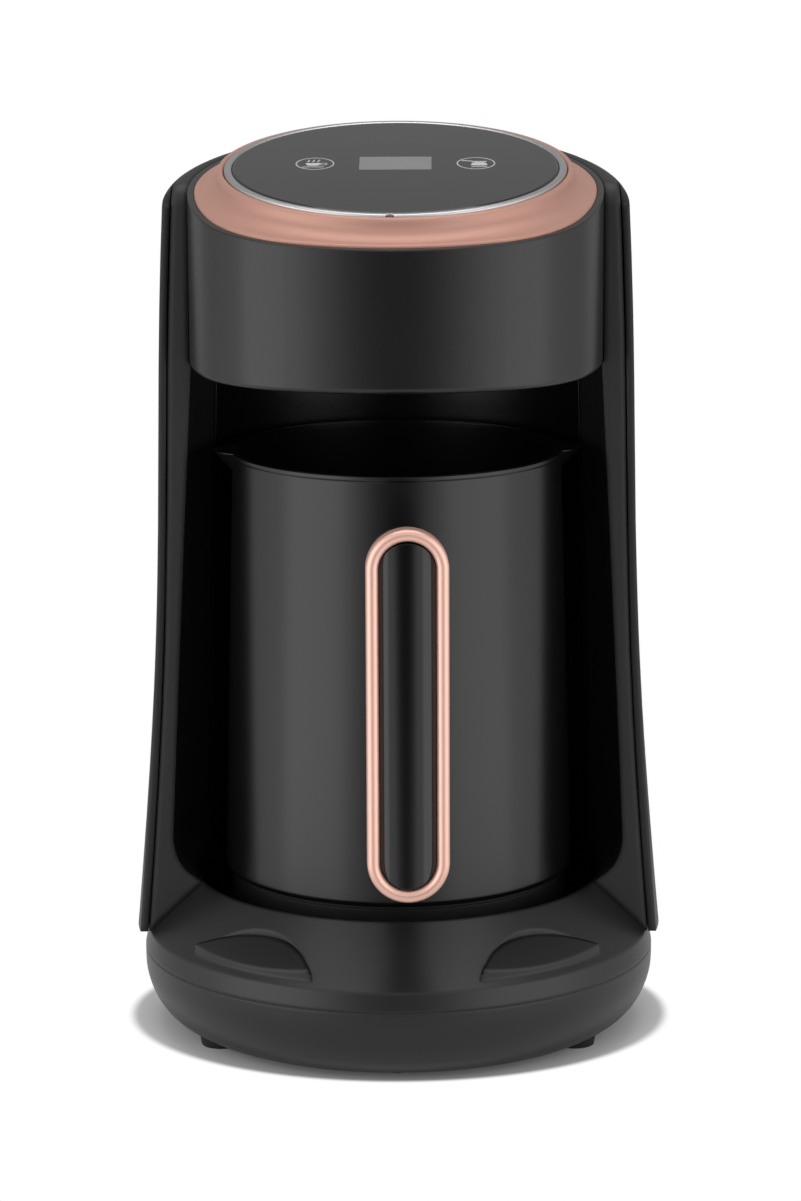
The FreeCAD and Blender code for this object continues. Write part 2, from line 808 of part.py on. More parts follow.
def crown(name, item, smooth):
    """Trim a piece of the column to its outer form, rounded where the sides meet the top."""
    form = column_solid(name + "_crown", 0, smooth)
    cut_top(form, name + "_crown_top")
    round_edges(form, name + "_crown_rounding", "Size.crown_rounding",
                lambda edge: edge.BoundBox.ZMin > size("Size.rim_height") - 20)
    return common(name + "_crowned", [item, form])


def cut_top(body, name):
    """Cut all that lies over the sloped plane of the head's rim."""
    sketch = new_sketch(body, name + "_side", "YZ_Plane")
    rise = f"{REACH} * tan(Size.rim_tilt)"
    add_outline(sketch, (
        (-REACH, f"Size.rim_height - {rise}"),
        (REACH, f"Size.rim_height + {rise}"),
        (REACH, f"Size.rim_height + {2 * REACH}"),
        (-REACH, f"Size.rim_height + {2 * REACH}"),
    ))
    return pocket(body, name, sketch, 4 * REACH, symmetric=True)


def cut_front(body, name, ahead=0):
    """Open the column's front along a leaning plane, moved ahead by a distance."""
    sketches = []
    for height, front in (("Size.column_low", "Size.front_low_y"),
                          ("Size.column_high", "Size.front_high_y")):
        sketch = new_sketch(body, f"{name}_{len(sketches)}", offset=height)
        add_outline(sketch, ((-REACH, -REACH), (REACH, -REACH), (REACH, f"{front} - {ahead}"),
                             (-REACH, f"{front} - {ahead}")))
        sketches.append(sketch)
    return loft(body, name, sketches, cut=True)


def cut_corner(body, name):
    """Round the corner, seen from the side, where the leaning front meets the sloped top."""
    lean = Vector(size("front_high_y - front_low_y"), size("column_high - column_low"), 0)
    lean.normalize()
    slope = Vector(math.cos(math.radians(size("rim_tilt"))),
                   math.sin(math.radians(size("rim_tilt"))), 0)
    foot = Vector(size("front_low_y"), size("column_low"), 0)
    rim = Vector(0, size("rim_height"), 0)
    along = slope.cross(rim - foot).z / slope.cross(lean).z
    corner = foot + lean * along
    half_angle = (lean * -1).getAngle(slope) / 2
    radius = size("corner_rounding")
    length = radius / math.tan(half_angle)
    start = corner - lean * length
    end = corner + slope * length
    inwards = (slope - lean).normalize()
    middle = corner + inwards * (radius / math.sin(half_angle) - radius)
    outer = [end + Vector(0, radius * 3, 0), Vector(start.x - radius * 3, end.y + radius * 3, 0),
             start - Vector(radius * 3, 0, 0)]
    sketch = new_sketch(body, name + "_side", "YZ_Plane")
    points = [end] + outer + [start]
    lines = [sketch.addGeometry(Part.LineSegment(one, other))
             for one, other in zip(points, points[1:])]
    arc = sketch.addGeometry(Part.Arc(start, middle, end))
    for one, other in zip(lines, lines[1:]):
        sketch.addConstraint(Sketcher.Constraint("Coincident", one, 2, other, 1))
    for line, line_end, point in ((lines[-1], 2, start), (lines[0], 1, end)):
        ends = {number: sketch.getPoint(arc, number) for number in (1, 2)}
        nearest = min(ends, key=lambda number: (ends[number] - point).Length)
        sketch.addConstraint(Sketcher.Constraint("Coincident", line, line_end, arc, nearest))
    for line, point in zip(lines, points):
        pin(sketch, line, 1, point.x, point.y)
    pin(sketch, lines[-1], 2, start.x, start.y)
    hold(sketch, "Radius", "Size.corner_rounding", arc)
    return pocket(body, name, sketch, 4 * REACH, symmetric=True)


def bay_sections(body, name, widen, foot):
    """Circles of the bay round the pot: the bowl at its foot, or its upright wall."""
    low = ("Size.bay_low", f"Size.bay_low_radius + {widen}", "Size.bay_low_y")
    if foot:
        bowl = [(f"Size.well_edge + ({rise})", f"{radius} + {widen}", y)
                for rise, radius, y in BAY_FOOT]
        return circle_sections(body, name, bowl + [low])
    high = ("Size.head_bottom - 0.2", f"Size.bay_high_radius + {widen}", "Size.bay_high_y")
    return circle_sections(body, name, (low, high))


def make_column_housing():
    """C-shaped carrier: two front flanges, an outer wall and the crescent on top."""
    shell = "Size.skin + Size.skin_gap"
    body = column_solid("housing_body", shell, smooth=False)
    cut_top(body, "housing_top")
    cut_front(body, "housing_front")
    loft(body, "bay", bay_sections(body, "bay", 0, foot=False), cut=True)
    loft(body, "bay_foot", bay_sections(body, "bay_foot", 0, foot=True), cut=True, ruled=False)
    cavity = []
    heights = [(f"Size.{level}", f"Size.{level}_radius") for level in COLUMN_LEVELS[:-1]]
    heights.append(("Size.rim_height - 2", "Size.shoulder_high_radius - 0.5"))
    for height, radius in heights:
        sketch = new_sketch(body, f"cavity_{len(cavity)}", offset=height)
        add_segment(sketch, f"{radius} - {shell} - Size.column_wall", column_line(height),
                    CAVITY_FRONT)
        cavity.append(sketch)
    loft(body, "housing_cavity", cavity, cut=True)
    cut_corner(body, "housing_corner")
    bore = drum("head_bore", f"Size.head_half + {CLEARANCE}", "Size.head_bottom", 260)
    deck = new_body("deck_under_housing")
    loft(deck, "deck_seat", circle_sections(deck, "deck_seat", (
        ("Size.column_low - 0.3", "Size.band_radius + 0.35", "Size.base_axis_y"),
        ("Size.well_edge - 0.3", "Size.well_radius + 0.75", 0),
    )))
    bored = cut("housing_with_bore", cut("housing_on_deck", body, deck), bore)
    return finish(crown("housing", bored, smooth=False), "column_housing")


def add_segment(sketch, radius, y, chord):
    """A circle's rear part, closed by a straight chord."""
    reach = size(radius)
    middle = size(y)
    start = math.asin((size(chord) - middle) / reach)
    circle = Part.Circle(Vector(0, middle, 0), Vector(0, 0, 1), reach)
    arc = sketch.addGeometry(Part.ArcOfCircle(circle, start, math.pi - start))
    left = circle.value(math.pi - start)
    right = circle.value(start)
    line = sketch.addGeometry(Part.LineSegment(left, right))
    sketch.addConstraint(Sketcher.Constraint("Coincident", arc, 2, line, 1))
    sketch.addConstraint(Sketcher.Constraint("Coincident", line, 2, arc, 1))
    sketch.addConstraint(Sketcher.Constraint("Horizontal", line))
    hold(sketch, "Radius", radius, arc)
    pin(sketch, arc, 3, 0, y)
    hold(sketch, "DistanceY", chord, -1, 1, line, 1)
    return sketch


def make_rear_cover():
    """Outer skin that clips round the column from behind and ends at its front edges."""
    body = column_solid("cover_body", 0, smooth=True)
    loft(body, "cover_hollow", column_sections(body, "cover_hollow", "Size.skin"), cut=True,
         ruled=False)
    cut_top(body, "cover_top")
    cut_front(body, "cover_front", ahead=0.5)
    cut_corner(body, "cover_corner")
    slots = new_sketch(body, "cover_slots", "XZ_Plane")
    for row in range(VENT_ROWS):
        low = VENT_LOW + VENT_STEP * row
        high = low + VENT_HEIGHT
        add_outline(slots, ((-VENT_HALF, low), (VENT_HALF, low), (VENT_HALF, high),
                            (-VENT_HALF, high)))
    pocket(body, "cover_slot_cut", slots, 100)
    return finish(crown("cover", body, smooth=True), "rear_cover")


def make_bay_liner():
    """Rear wall of the bay, flush with the flanges that it stands between."""
    body = new_body("liner_body")
    for name, widen, cut_away in (("liner_outer", "Size.liner_wall", False), ("liner_inner", 0, True)):
        loft(body, name + "_foot", bay_sections(body, name + "_foot", widen, foot=True),
             cut=cut_away, ruled=False)
        loft(body, name + "_wall", bay_sections(body, name + "_wall", widen, foot=False),
             cut=cut_away)
    front = new_sketch(body, "liner_front", offset=0)
    add_outline(front, ((-REACH, -REACH), (REACH, -REACH), (REACH, CAVITY_FRONT + 0.2),
                        (-REACH, CAVITY_FRONT + 0.2)))
    pocket(body, "liner_front_cut", front, 2 * REACH, backwards=True)
    trim = add_circle(new_sketch(body, "liner_trim", offset="Size.well_edge - 1"), 90)
    pocket(body, "liner_foot_trim", trim, 1.2, backwards=True)
    return finish(body, "bay_liner")


# Head

def drum(name, half, low, high):
    """An upright block, squared in front and round behind, between two heights."""
    body = new_body(name)
    sketch = new_sketch(body, name + "_outline", offset=low)
    add_rounded_square(sketch, half, f"({half}) * {SIDE_RATIO}", f"({half}) * {CORNER_RATIO}")
    pad(body, name + "_block", sketch, f"({high}) - ({low})")
    round_rear(body, name + "_rear", half, low, high)
    return body


def round_rear(body, name, half, low, high):
    """Trim the two rear corners of a drum to the circle that touches its sides."""
    before = body.Shape.Volume
    sketch = new_sketch(body, name + "_outline", "XZ_Plane")
    add_outline(sketch, ((half, low), (f"({half}) + 20", low), (f"({half}) + 20", high),
                         (half, high)))
    feature = body.newObject("PartDesign::Groove", name)
    feature.Profile = sketch
    feature.ReferenceAxis = (sketch, ["V_Axis"])
    feature.Angle = FULL_TURN / 2
    return must_cut(checked(feature), before)


def make_head_shell():
    """Upright wall of the head, open below, with a sloped rim that carries the ring."""
    inner_half = "Size.head_half - Size.head_wall"
    outer = drum("shell_outer", "Size.head_half", "Size.head_bottom", 260)
    round_edges(outer, "shell_lower_edge", 1.6, level_edges("Size.head_bottom"))
    cut_top(outer, "shell_top")
    inner = drum("shell_inner", inner_half, "Size.head_bottom", 261)
    step = drum("shell_step", "Size.ring_half + 0.1", "Size.head_bottom + 10", 262)
    seat = new_sketch(step, "shell_seat", "YZ_Plane")
    rise = f"{REACH} * tan(Size.rim_tilt)"
    level = "Size.rim_height - Size.ring_depth - 0.1"
    add_outline(seat, (
        (-REACH, f"{level} - {rise}"),
        (-REACH, f"{level} - {2 * REACH}"),
        (REACH, f"{level} - {2 * REACH}"),
        (REACH, f"{level} + {rise}"),
    ))
    pocket(step, "shell_seat_cut", seat, 4 * REACH, symmetric=True)
    window = box("ribbon_window", RIBBON_WIDTH + 6, 12, 40, 0, 57, "Size.head_bottom - 1")
    wall = cut("shell_wall", outer, inner)
    wall = cut("shell_with_step", wall, step)
    return finish(cut("shell_with_window", wall, window), "head_shell")


def make_ceiling_plate():
    """Floor of the head and roof of the bay, with the opening for the foam sensor."""
    top = "Size.head_bottom + Size.ceiling_wall"
    plate = drum("ceiling_body", f"Size.head_half - Size.head_wall - {CLEARANCE}",
                 "Size.head_bottom", top)
    hole = add_circle(new_sketch(plate, "sensor_place", offset=top), 5.2, 0, SENSOR_Y)
    pocket(plate, "sensor_hole", hole, 6)
    return finish(plate, "ceiling_plate")


def make_panel_tray():
    """Tray under the glass that carries the boards and hangs from the ring."""
    body = new_body("tray_body")
    revolve(body, "tray", (
        (0, TRAY_FLOOR),
        ("Size.bezel_radius - 0.3", TRAY_FLOOR),
        ("Size.bezel_radius - 0.3", "Size.panel_rise - 3.2"),
        ("Size.bezel_radius - 2.6", "Size.panel_rise - 3.2"),
        ("Size.bezel_radius - 2.6", TRAY_FLOOR + TRAY_WALL),
        (0, TRAY_FLOOR + TRAY_WALL),
    ))
    posts = new_sketch(body, "tray_posts", offset=TRAY_FLOOR + TRAY_WALL)
    for x, y in BOARD_SCREWS:
        add_circle(posts, 3, x, y)
    pad(body, "tray_post_pad", posts, BOARD_LEVEL - TRAY_FLOOR - TRAY_WALL)
    holes = new_sketch(body, "tray_post_holes", offset=BOARD_LEVEL)
    for x, y in BOARD_SCREWS:
        add_circle(holes, 1.3, x, y)
    pocket(body, "tray_post_cut", holes, 6)
    cable = add_circle(new_sketch(body, "tray_cable_place", offset=TRAY_FLOOR + TRAY_WALL),
                       6, 0, 34)
    pocket(body, "tray_cable_hole", cable, 3)
    panel_frame(body)
    return finish(body, "panel_tray")


def make_top_ring():
    """Copper-coloured ring with a hollow flare that climbs to an upright inner wall."""
    body = new_body("ring_body")
    foot = new_sketch(body, "ring_foot", offset="-Size.ring_depth")
    add_rounded_square(foot, "Size.ring_half", f"Size.ring_half * {SIDE_RATIO}",
                       f"Size.ring_half * {CORNER_RATIO}")
    pad(body, "ring_foot_pad", foot, "Size.ring_depth")
    sections = []
    for height, half, square in (
            (0, "Size.ring_half", 1),
            ("Size.panel_rise * 0.22", "Size.ring_half - 3.6", 0.7),
            ("Size.panel_rise * 0.45", "Size.ring_half - 6.2", 0.4),
            ("Size.panel_rise - 1.2", "Size.ring_half - 7.4", 0.25)):
        sketch = new_sketch(body, f"ring_{len(sections)}", offset=height)
        side = 1 + (SIDE_RATIO - 1) * square
        corner = 1 - (1 - CORNER_RATIO) * square
        add_rounded_square(sketch, half, f"({half}) * {side}", f"({half}) * {corner}")
        sections.append(sketch)
    loft(body, "ring_flare", sections, ruled=False)
    round_rear(body, "ring_rear", "Size.ring_half", "-Size.ring_depth", "Size.panel_rise")
    bore = add_circle(new_sketch(body, "ring_bore_outline", offset="Size.panel_rise"),
                      "Size.bezel_radius + 0.1")
    pocket(body, "ring_bore", bore, 30)
    panel_frame(body)
    return finish(body, "head_top_ring")


def make_bezel():
    """Bright trim round the glass with a small half-round notch in front."""
    body = new_body("bezel_body")
    low = "Size.panel_rise - 3.2"
    revolve(body, "bezel", (
        ("Size.glass_radius - 1.6", low),
        ("Size.bezel_radius", low),
        ("Size.bezel_radius", "Size.panel_rise + 0.1"),
        ("Size.bezel_radius - 0.5", "Size.panel_rise + 0.5"),
        ("Size.glass_radius + 0.5", "Size.panel_rise + 0.5"),
        ("Size.glass_radius + 0.15", "Size.panel_rise + 0.1"),
        ("Size.glass_radius + 0.15", "Size.panel_rise - Size.glass_thickness"),
        ("Size.glass_radius - 1.6", "Size.panel_rise - Size.glass_thickness"),
    ))
    notch = new_sketch(body, "notch", offset="Size.panel_rise + 2")
    add_circle(notch, 1.1, 0, "-Size.bezel_radius - 0.2")
    pocket(body, "notch_cut", notch, 4)
    panel_frame(body)
    return finish(body, "panel_bezel")


def make_glass():
    """Touch panel: a slightly domed round pane."""
    body = new_body("glass_body")
    revolve(body, "glass", (
        (0, "Size.panel_rise - Size.glass_thickness"),
        ("Size.glass_radius", "Size.panel_rise - Size.glass_thickness"),
        ("Size.glass_radius", "Size.panel_rise - 0.1"),
        ("Size.glass_radius - 0.5", "Size.panel_rise + 0.25"),
        ("Size.glass_radius * 0.5", "Size.panel_rise + 0.5"),
        (0, "Size.panel_rise + 0.6"),
    ))
    panel_frame(body)
    return finish(body, "glass_panel")


def make_display():
    top = "Size.panel_rise - Size.glass_thickness - 0.1"
    housing = box("display_housing", 26, 17, f"{top} - ({BOARD_TOP})", 0, DISPLAY_Y, BOARD_TOP)
    recess = box("display_recess", 20.6, 13.4, 0.6, 0, DISPLAY_Y, f"{top} - 0.6")
    display = cut("display_block", housing, recess)
    return finish(panel_frame(display), "display_module")


def make_touch_pads():
    """Two sprung rings that carry a finger's touch from the pane to the board."""
    pads = []
    for name, side in (("left", -1), ("right", 1)):
        body = new_body("touch_pad_" + name)
        revolve(body, "touch_ring_" + name, (
            (3.4, BOARD_TOP),
            (4.4, BOARD_TOP),
            (4.4, "Size.panel_rise - Size.glass_thickness - 0.1"),
            (3.4, "Size.panel_rise - Size.glass_thickness - 0.1"),
        ))
        pads.append(stand(body, side * KEY_X, DISPLAY_Y, 0))
    return finish(panel_frame(group("touch_pad_group", pads)), "touch_springs")


def make_control_board():
    body = new_body("control_board_body")
    sketch = add_circle(new_sketch(body, "board_outline", offset=BOARD_LEVEL), BOARD_RADIUS)
    pad(body, "board", sketch, BOARD_THICKNESS)
    holes = new_sketch(body, "board_holes", offset=BOARD_TOP)
    for x, y in BOARD_SCREWS:
        add_circle(holes, 1.6, x, y)
    pocket(body, "board_hole_cut", holes, 4)
    panel_frame(body)
    return finish(body, "control_board")


def make_board_screws():
    screws = [screw(f"board_screw_{index}", 1.3, 5, 2.6, x, y, BOARD_TOP, upright=False)
              for index, (x, y) in enumerate(BOARD_SCREWS)]
    return finish(panel_frame(group("board_screw_group", screws)), "board_screws")


def make_buzzer():
    """Sounder under the board, with a small round hole in its middle."""
    case = cylinder("buzzer_case", 5.8, 4.6, BUZZER_X, BUZZER_Y, BOARD_LEVEL - 4.6)
    hole = cylinder("buzzer_hole", 1, 2, BUZZER_X, BUZZER_Y, BOARD_LEVEL - 4.7)
    return finish(panel_frame(cut("buzzer_block", case, hole)), "buzzer")


def make_foam_sensor():
    """Small board over the pot that watches the foam rise, with its receiver."""
    base = "Size.head_bottom + Size.ceiling_wall"
    board = box("sensor_board", 26, 18, 1.4, 0, SENSOR_Y, f"{base} + 3")
    body = cylinder("sensor_body", 3.5, 3, 0, SENSOR_Y, base)
    return finish(fuse("sensor_block", [board, body]), "foam_sensor")


def make_sensor_lens():
    """Clear window in the roof of the bay, flush with it."""
    disc = cylinder("lens_disc", 4.9, "Size.ceiling_wall", 0, SENSOR_Y, "Size.head_bottom")
    return finish(disc, "sensor_lens")


# Electric pieces in the base and the column

def make_power_board():
    board = box("power_board_plate", 64, 30, BOARD_THICKNESS, 0, POWER_Y, POWER_LEVEL)
    return finish(board, "power_board")


def make_power_parts():
    """Relay, transformer and capacitor that stand on the power board."""
    level = POWER_LEVEL + BOARD_THICKNESS
    relay = box("relay_block", 15, 19, 10.5, -21, POWER_Y, level)
    finish(relay, "relay")
    core = box("transformer_core", 18, 16, 9, 2, POWER_Y, level)
    bobbin = box("transformer_bobbin", 10, 22, 7, 2, POWER_Y, level)
    finish(fuse("transformer_block", [core, bobbin]), "transformer")
    finish(cylinder("capacitor_can", 4.5, 10, 22, POWER_Y, level), "capacitor")


def make_terminal_block():
    blocks = box("terminal_strip", 30, 10, 9, 0, TERMINAL_Y, POWER_LEVEL)
    ports = [cylinder(f"terminal_port_{index}", 2, 6, 10 * index, TERMINAL_Y, POWER_LEVEL + 4)
             for index in (-1, 0, 1)]
    return finish(cut("terminal_with_ports", blocks, group("terminal_ports", ports)),
                  "terminal_block")


def make_cord_gland():
    """Bush in the back of the base that the mains cord passes through."""
    body = new_body("gland_body")
    revolve(body, "gland", (
        ("Size.cord_radius", "Size.base_radius - 8"),
        ("Size.gland_radius + 1.5", "Size.base_radius - 8"),
        ("Size.gland_radius + 1.5", "Size.base_radius - 4.4"),
        ("Size.gland_radius", "Size.base_radius - 4.4"),
        ("Size.gland_radius", "Size.base_radius + 2.2"),
        ("Size.gland_radius - 0.8", "Size.base_radius + 3"),
        ("Size.cord_radius", "Size.base_radius + 3"),
    ))
    body.Placement = Placement(Vector(0, size("base_axis_y"), size("gland_height")),
                               Rotation(Vector(1, 0, 0), -90))
    return finish(body, "cord_gland")


def make_ribbon():
    """Flat cable that climbs behind the bay from the base to the head."""
    ribbon = DOC.addObject("Part::Box", "ribbon_strip")
    bind(ribbon, Length=RIBBON_WIDTH, Width=RIBBON_THICKNESS, Height=RIBBON_LENGTH)
    foot = Vector(-RIBBON_WIDTH / 2, RIBBON_Y, RIBBON_FOOT)
    ribbon.Placement = Placement(foot, Rotation(Vector(1, 0, 0), RIBBON_LEAN))
    return finish(ribbon, "ribbon_cable")


# Pot

def spout_cone(body, name, side, inset, cut_away):
    """Half of an upright cone that swells out of the wall into a pouring lip."""
    before = body.Shape.Volume
    kind = "SubtractiveCone" if cut_away else "AdditiveCone"
    cone = body.newObject("PartDesign::" + kind, name)
    plane = [item for item in body.Origin.OriginFeatures if item.Role == "XY_Plane"][0]
    cone.AttachmentSupport = (plane, [""])
    cone.MapMode = "FlatFace"
    extra = 0.5 if cut_away else 0
    grow = "Size.spout_radius / Size.spout_height"
    bind(cone, Radius1=0.2, Radius2=f"Size.spout_radius - ({inset}) + {extra} * {grow}",
         Height=f"Size.spout_height - ({inset}) / ({grow}) + {extra}")
    cone.setExpression("AttachmentOffset.Base.x",
                       f"{side} * (Size.spout_reach - Size.spout_radius)")
    cone.setExpression("AttachmentOffset.Base.z",
                       f"Size.pot_rim - Size.spout_height + ({inset}) / ({grow})")
    checked(cone)
    return must_cut(cone, before) if cut_away else cone


def make_pot_shell():
    """Tapered steel pot with a rolled rim and a pouring lip on each side."""
    body = new_body("pot_body")
    revolve(body, "pot_form", (
        (0, "Size.pot_bottom"),
        ("Size.pot_bottom_radius", "Size.pot_bottom"),
        ("Size.pot_rim_radius", "Size.pot_rim - 1.5"),
        ("Size.pot_rim_radius + 0.5", "Size.pot_rim - 1"),
        ("Size.pot_rim_radius + 0.5", "Size.pot_rim"),
        (0, "Size.pot_rim"),
    ))
    round_edges(body, "pot_heel", 1.8, rim_edges("pot_bottom_radius", "pot_bottom"))
    for side in (-1, 1):
        spout_cone(body, "spout_right" if side > 0 else "spout_left", side, 0, False)
    turn_out(body, "pot_inside", (
        (0, "Size.pot_bottom + Size.pot_wall"),
        ("Size.pot_bottom_radius - Size.pot_wall - 3", "Size.pot_bottom + Size.pot_wall"),
        ("Size.pot_bottom_radius - Size.pot_wall", "Size.pot_bottom + Size.pot_wall + 3"),
        ("Size.pot_rim_radius - Size.pot_wall", "Size.pot_rim - 1.5"),
        ("Size.pot_rim_radius - Size.pot_wall", "Size.pot_rim + 1"),
        (0, "Size.pot_rim + 1"),
    ))
    for side in (-1, 1):
        name = "spout_channel_right" if side > 0 else "spout_channel_left"
        spout_cone(body, name, side, 1.1, True)
    turn_with_pot(body)
    return finish(body, "pot_shell")


def make_pot_skirt():
    """Heat-proof foot of the pot that hides the heater and the connector."""
    body = new_body("skirt_body")
    top = "Size.pot_bottom - 1"
    revolve(body, "skirt", (
        ("Size.skirt_radius - Size.skirt_wall", "Size.skirt_bottom"),
        ("Size.skirt_radius - 1", "Size.skirt_bottom"),
        ("Size.skirt_radius", "Size.skirt_bottom + 1"),
        ("Size.skirt_radius", top),
        ("Size.skirt_radius - Size.skirt_wall", top),
    ))
    turn_with_pot(body)
    return finish(body, "pot_skirt")


def make_pot_seal():
    """Silicone ring between the steel pot and its skirt."""
    body = new_body("pot_seal_body")
    revolve(body, "pot_seal_ring", (
        ("Size.skirt_radius - Size.skirt_wall", "Size.pot_bottom - 1"),
        ("Size.skirt_radius - 0.4", "Size.pot_bottom - 1"),
        ("Size.skirt_radius - 0.4", "Size.pot_bottom"),
        ("Size.skirt_radius - Size.skirt_wall", "Size.pot_bottom"),
    ))
    turn_with_pot(body)
    return finish(body, "pot_seal")


def make_pot_base_cover():
    """Plate under the skirt, open in the middle for the connector."""
    body = new_body("pot_cover_body")
    revolve(body, "pot_cover", (
        (PLUG_RADIUS + CLEARANCE, "Size.skirt_bottom + 1"),
        ("Size.skirt_radius - Size.skirt_wall - 0.1", "Size.skirt_bottom + 1"),
        ("Size.skirt_radius - Size.skirt_wall - 0.1", "Size.skirt_bottom + 3"),
        (PLUG_RADIUS + CLEARANCE, "Size.skirt_bottom + 3"),
    ))
    holes = new_sketch(body, "pot_cover_holes", offset="Size.skirt_bottom + 3")
    for x, y in COVER_SCREWS:
        add_circle(holes, 1.7, x, y)
    pocket(body, "pot_cover_hole_cut", holes, 4)
    seats = new_sketch(body, "pot_cover_seats", offset="Size.skirt_bottom + 1")
    for x, y in COVER_SCREWS:
        add_circle(seats, 2.8, x, y)
    pocket(body, "pot_cover_seat_cut", seats, 1.2, backwards=True)
    turn_with_pot(body)
    return finish(body, "pot_base_cover")


def make_pot_base_screws():
    screws = [screw(f"pot_screw_{index}", 1.5, 11.4, 2.6, x, y, "Size.skirt_bottom + 2.2")
              for index, (x, y) in enumerate(COVER_SCREWS)]
    return finish(turn_with_pot(group("pot_screw_group", screws)), "pot_base_screws")


def make_heater():
    """Aluminium plate under the pot's floor, the heating tube below it and its thermostat."""
    body = new_body("heater_plate_body")
    disc = add_circle(new_sketch(body, "heater_disc", offset=f"Size.pot_bottom - {HEATER_PLATE}"),
                      HEATER_DISC)
    pad(body, "heater_pad", disc, HEATER_PLATE)
    finish(turn_with_pot(body), "heater_plate")
    tube = DOC.addObject("Part::Torus", "heater_tube")
    tube_z = f"Size.pot_bottom - {HEATER_PLATE} - {HEATER_TUBE}"
    bind(tube, Radius1=HEATER_RING, Radius2=HEATER_TUBE, Angle3=HEATER_SWEEP)
    first_end = 90 + (FULL_TURN - HEATER_SWEEP) / 2
    tube.Placement = Placement(Vector(0, 0, size(tube_z)), Rotation(Vector(0, 0, 1), first_end))
    end_x = HEATER_RING * math.cos(math.radians(first_end))
    end_y = HEATER_RING * math.sin(math.radians(first_end))
    ends = [cylinder(f"heater_end_{name}", 1.4, 7, side * end_x, end_y, f"{tube_z} - 7")
            for name, side in (("left", 1), ("right", -1))]
    finish(fuse("heater_with_ends", [tube] + ends), "heater_element")
    can = cylinder("thermostat_can", THERMOSTAT_RADIUS, 5, 0, THERMOSTAT_Y,
                   f"Size.pot_bottom - {HEATER_PLATE} - 5")
    finish(can, "thermostat")


def make_pot_plug():
    """The pot's half of the connector: a cup with a middle pin, over the socket's boss."""
    body = new_body("plug_body")
    roof = f"Size.pot_bottom - {HEATER_PLATE}"
    revolve(body, "plug", (
        (0, roof),
        (PLUG_RADIUS, roof),
        (PLUG_RADIUS, "Size.skirt_bottom + 0.6"),
        (BOSS_RADIUS + 0.8, "Size.skirt_bottom + 0.6"),
        (BOSS_RADIUS + 0.8, f"{roof} - 1.8"),
        (2.2, f"{roof} - 1.8"),
        (2.2, "Size.skirt_bottom + 6"),
        (1.2, "Size.skirt_bottom + 5"),
        (0, "Size.skirt_bottom + 5"),
    ))
    turn_with_pot(body)
    return finish(body, "pot_connector")


# Handle

def pot_block(name):
    """The pot's outer form as a plain solid, to fit pieces against its wall."""
    cone = DOC.addObject("Part::Cone", name)
    bind(cone, Radius1="Size.pot_bottom_radius + 0.1", Radius2="Size.pot_rim_radius + 0.1",
         Height="Size.pot_rim - Size.pot_bottom")
    return stand(cone, 0, 0, "Size.pot_bottom")


def grip_block(body, name, width, low, high, front, depth):
    """An obround slab that faces forwards and reaches back from front by depth."""
    sketch = new_sketch(body, name + "_outline", "XZ_Plane", offset=f"({front}) - ({depth})")
    add_obround(sketch, width, low, high)
    return pad(body, name, sketch, depth)


def make_handle_core():
    """Upright grip with two arms that reach back to the pot."""
    body = new_body("handle_body")
    depth = "Size.grip_front - Size.grip_back - Size.trim_depth"
    grip_block(body, "grip", "Size.grip_width - 0.6", "Size.grip_bottom + 0.3",
               "Size.grip_top - 0.3", "Size.grip_front - Size.trim_depth", depth)
    DOC.recompute()
    round_edges(body, "grip_rounding", 2.2, back_edges("-Size.grip_back"))
    arms = [box("arm_" + name, "Size.arm_width", "Size.grip_back - 40", "Size.arm_height",
                0, "-(Size.grip_back + 40) / 2", f"{height} - Size.arm_height / 2")
            for name, height in (("high", "Size.upper_arm"), ("low", "Size.lower_arm"))]
    softened = []
    for arm in arms:
        rounded = DOC.addObject("Part::Fillet", arm.Name + "_soft")
        rounded.Base = arm
        DOC.recompute()
        rounded.Edges = [(index, 3, 3) for index, edge in enumerate(arm.Shape.Edges, start=1)
                         if edge.BoundBox.YLength > 10]
        softened.append(checked(rounded))
    handle = fuse("handle_blank", [body] + softened)
    handle = cut("handle_fitted", handle, pot_block("pot_for_handle"))
    bores = []
    for name, height in (("high", "Size.upper_arm"), ("low", "Size.lower_arm")):
        bore = lying_cylinder("handle_bore_" + name, HANDLE_SCREW_RADIUS + 0.2, 26, -44, height)
        plate = box("plate_seat_" + name, BRACKET_WIDTH + 0.4, 6, BRACKET_HEIGHT + 0.4, 0, -50,
                    f"{height} - {BRACKET_HEIGHT + 0.4} / 2")
        bores += [bore, plate]
    handle = cut("handle_bored", handle, group("handle_bores", bores))
    return finish(turn_with_pot(handle), "handle_core")


def make_handle_bracket():
    """Two welded plates on the pot's wall with threaded holes for the handle screws."""
    plates = []
    for name, height in (("high", "Size.upper_arm"), ("low", "Size.lower_arm")):
        plates.append(box("bracket_" + name, BRACKET_WIDTH, 5.6, BRACKET_HEIGHT, 0, -50,
                          f"{height} - {BRACKET_HEIGHT} / 2"))
    joined = group("bracket_pair", plates)
    joined = cut("bracket_fitted", joined, pot_block("pot_for_bracket"))
    bores = []
    for name, height in (("high", "Size.upper_arm"), ("low", "Size.lower_arm")):
        bores.append(lying_cylinder("bracket_bore_" + name, HANDLE_SCREW_RADIUS, 20, -44, height))
    joined = cut("bracket_bored", joined, group("bracket_bores", bores))
    return finish(turn_with_pot(joined), "handle_brackets")


def make_handle_screws():
    """Two long screws inside the arms that clamp the grip to the brackets."""
    screws = [lying_cylinder("handle_screw_" + name, HANDLE_SCREW_RADIUS, 18, -50.8, height)
              for name, height in (("high", "Size.upper_arm"), ("low", "Size.lower_arm"))]
    return finish(turn_with_pot(group("handle_screw_pair", screws)), "handle_screws")


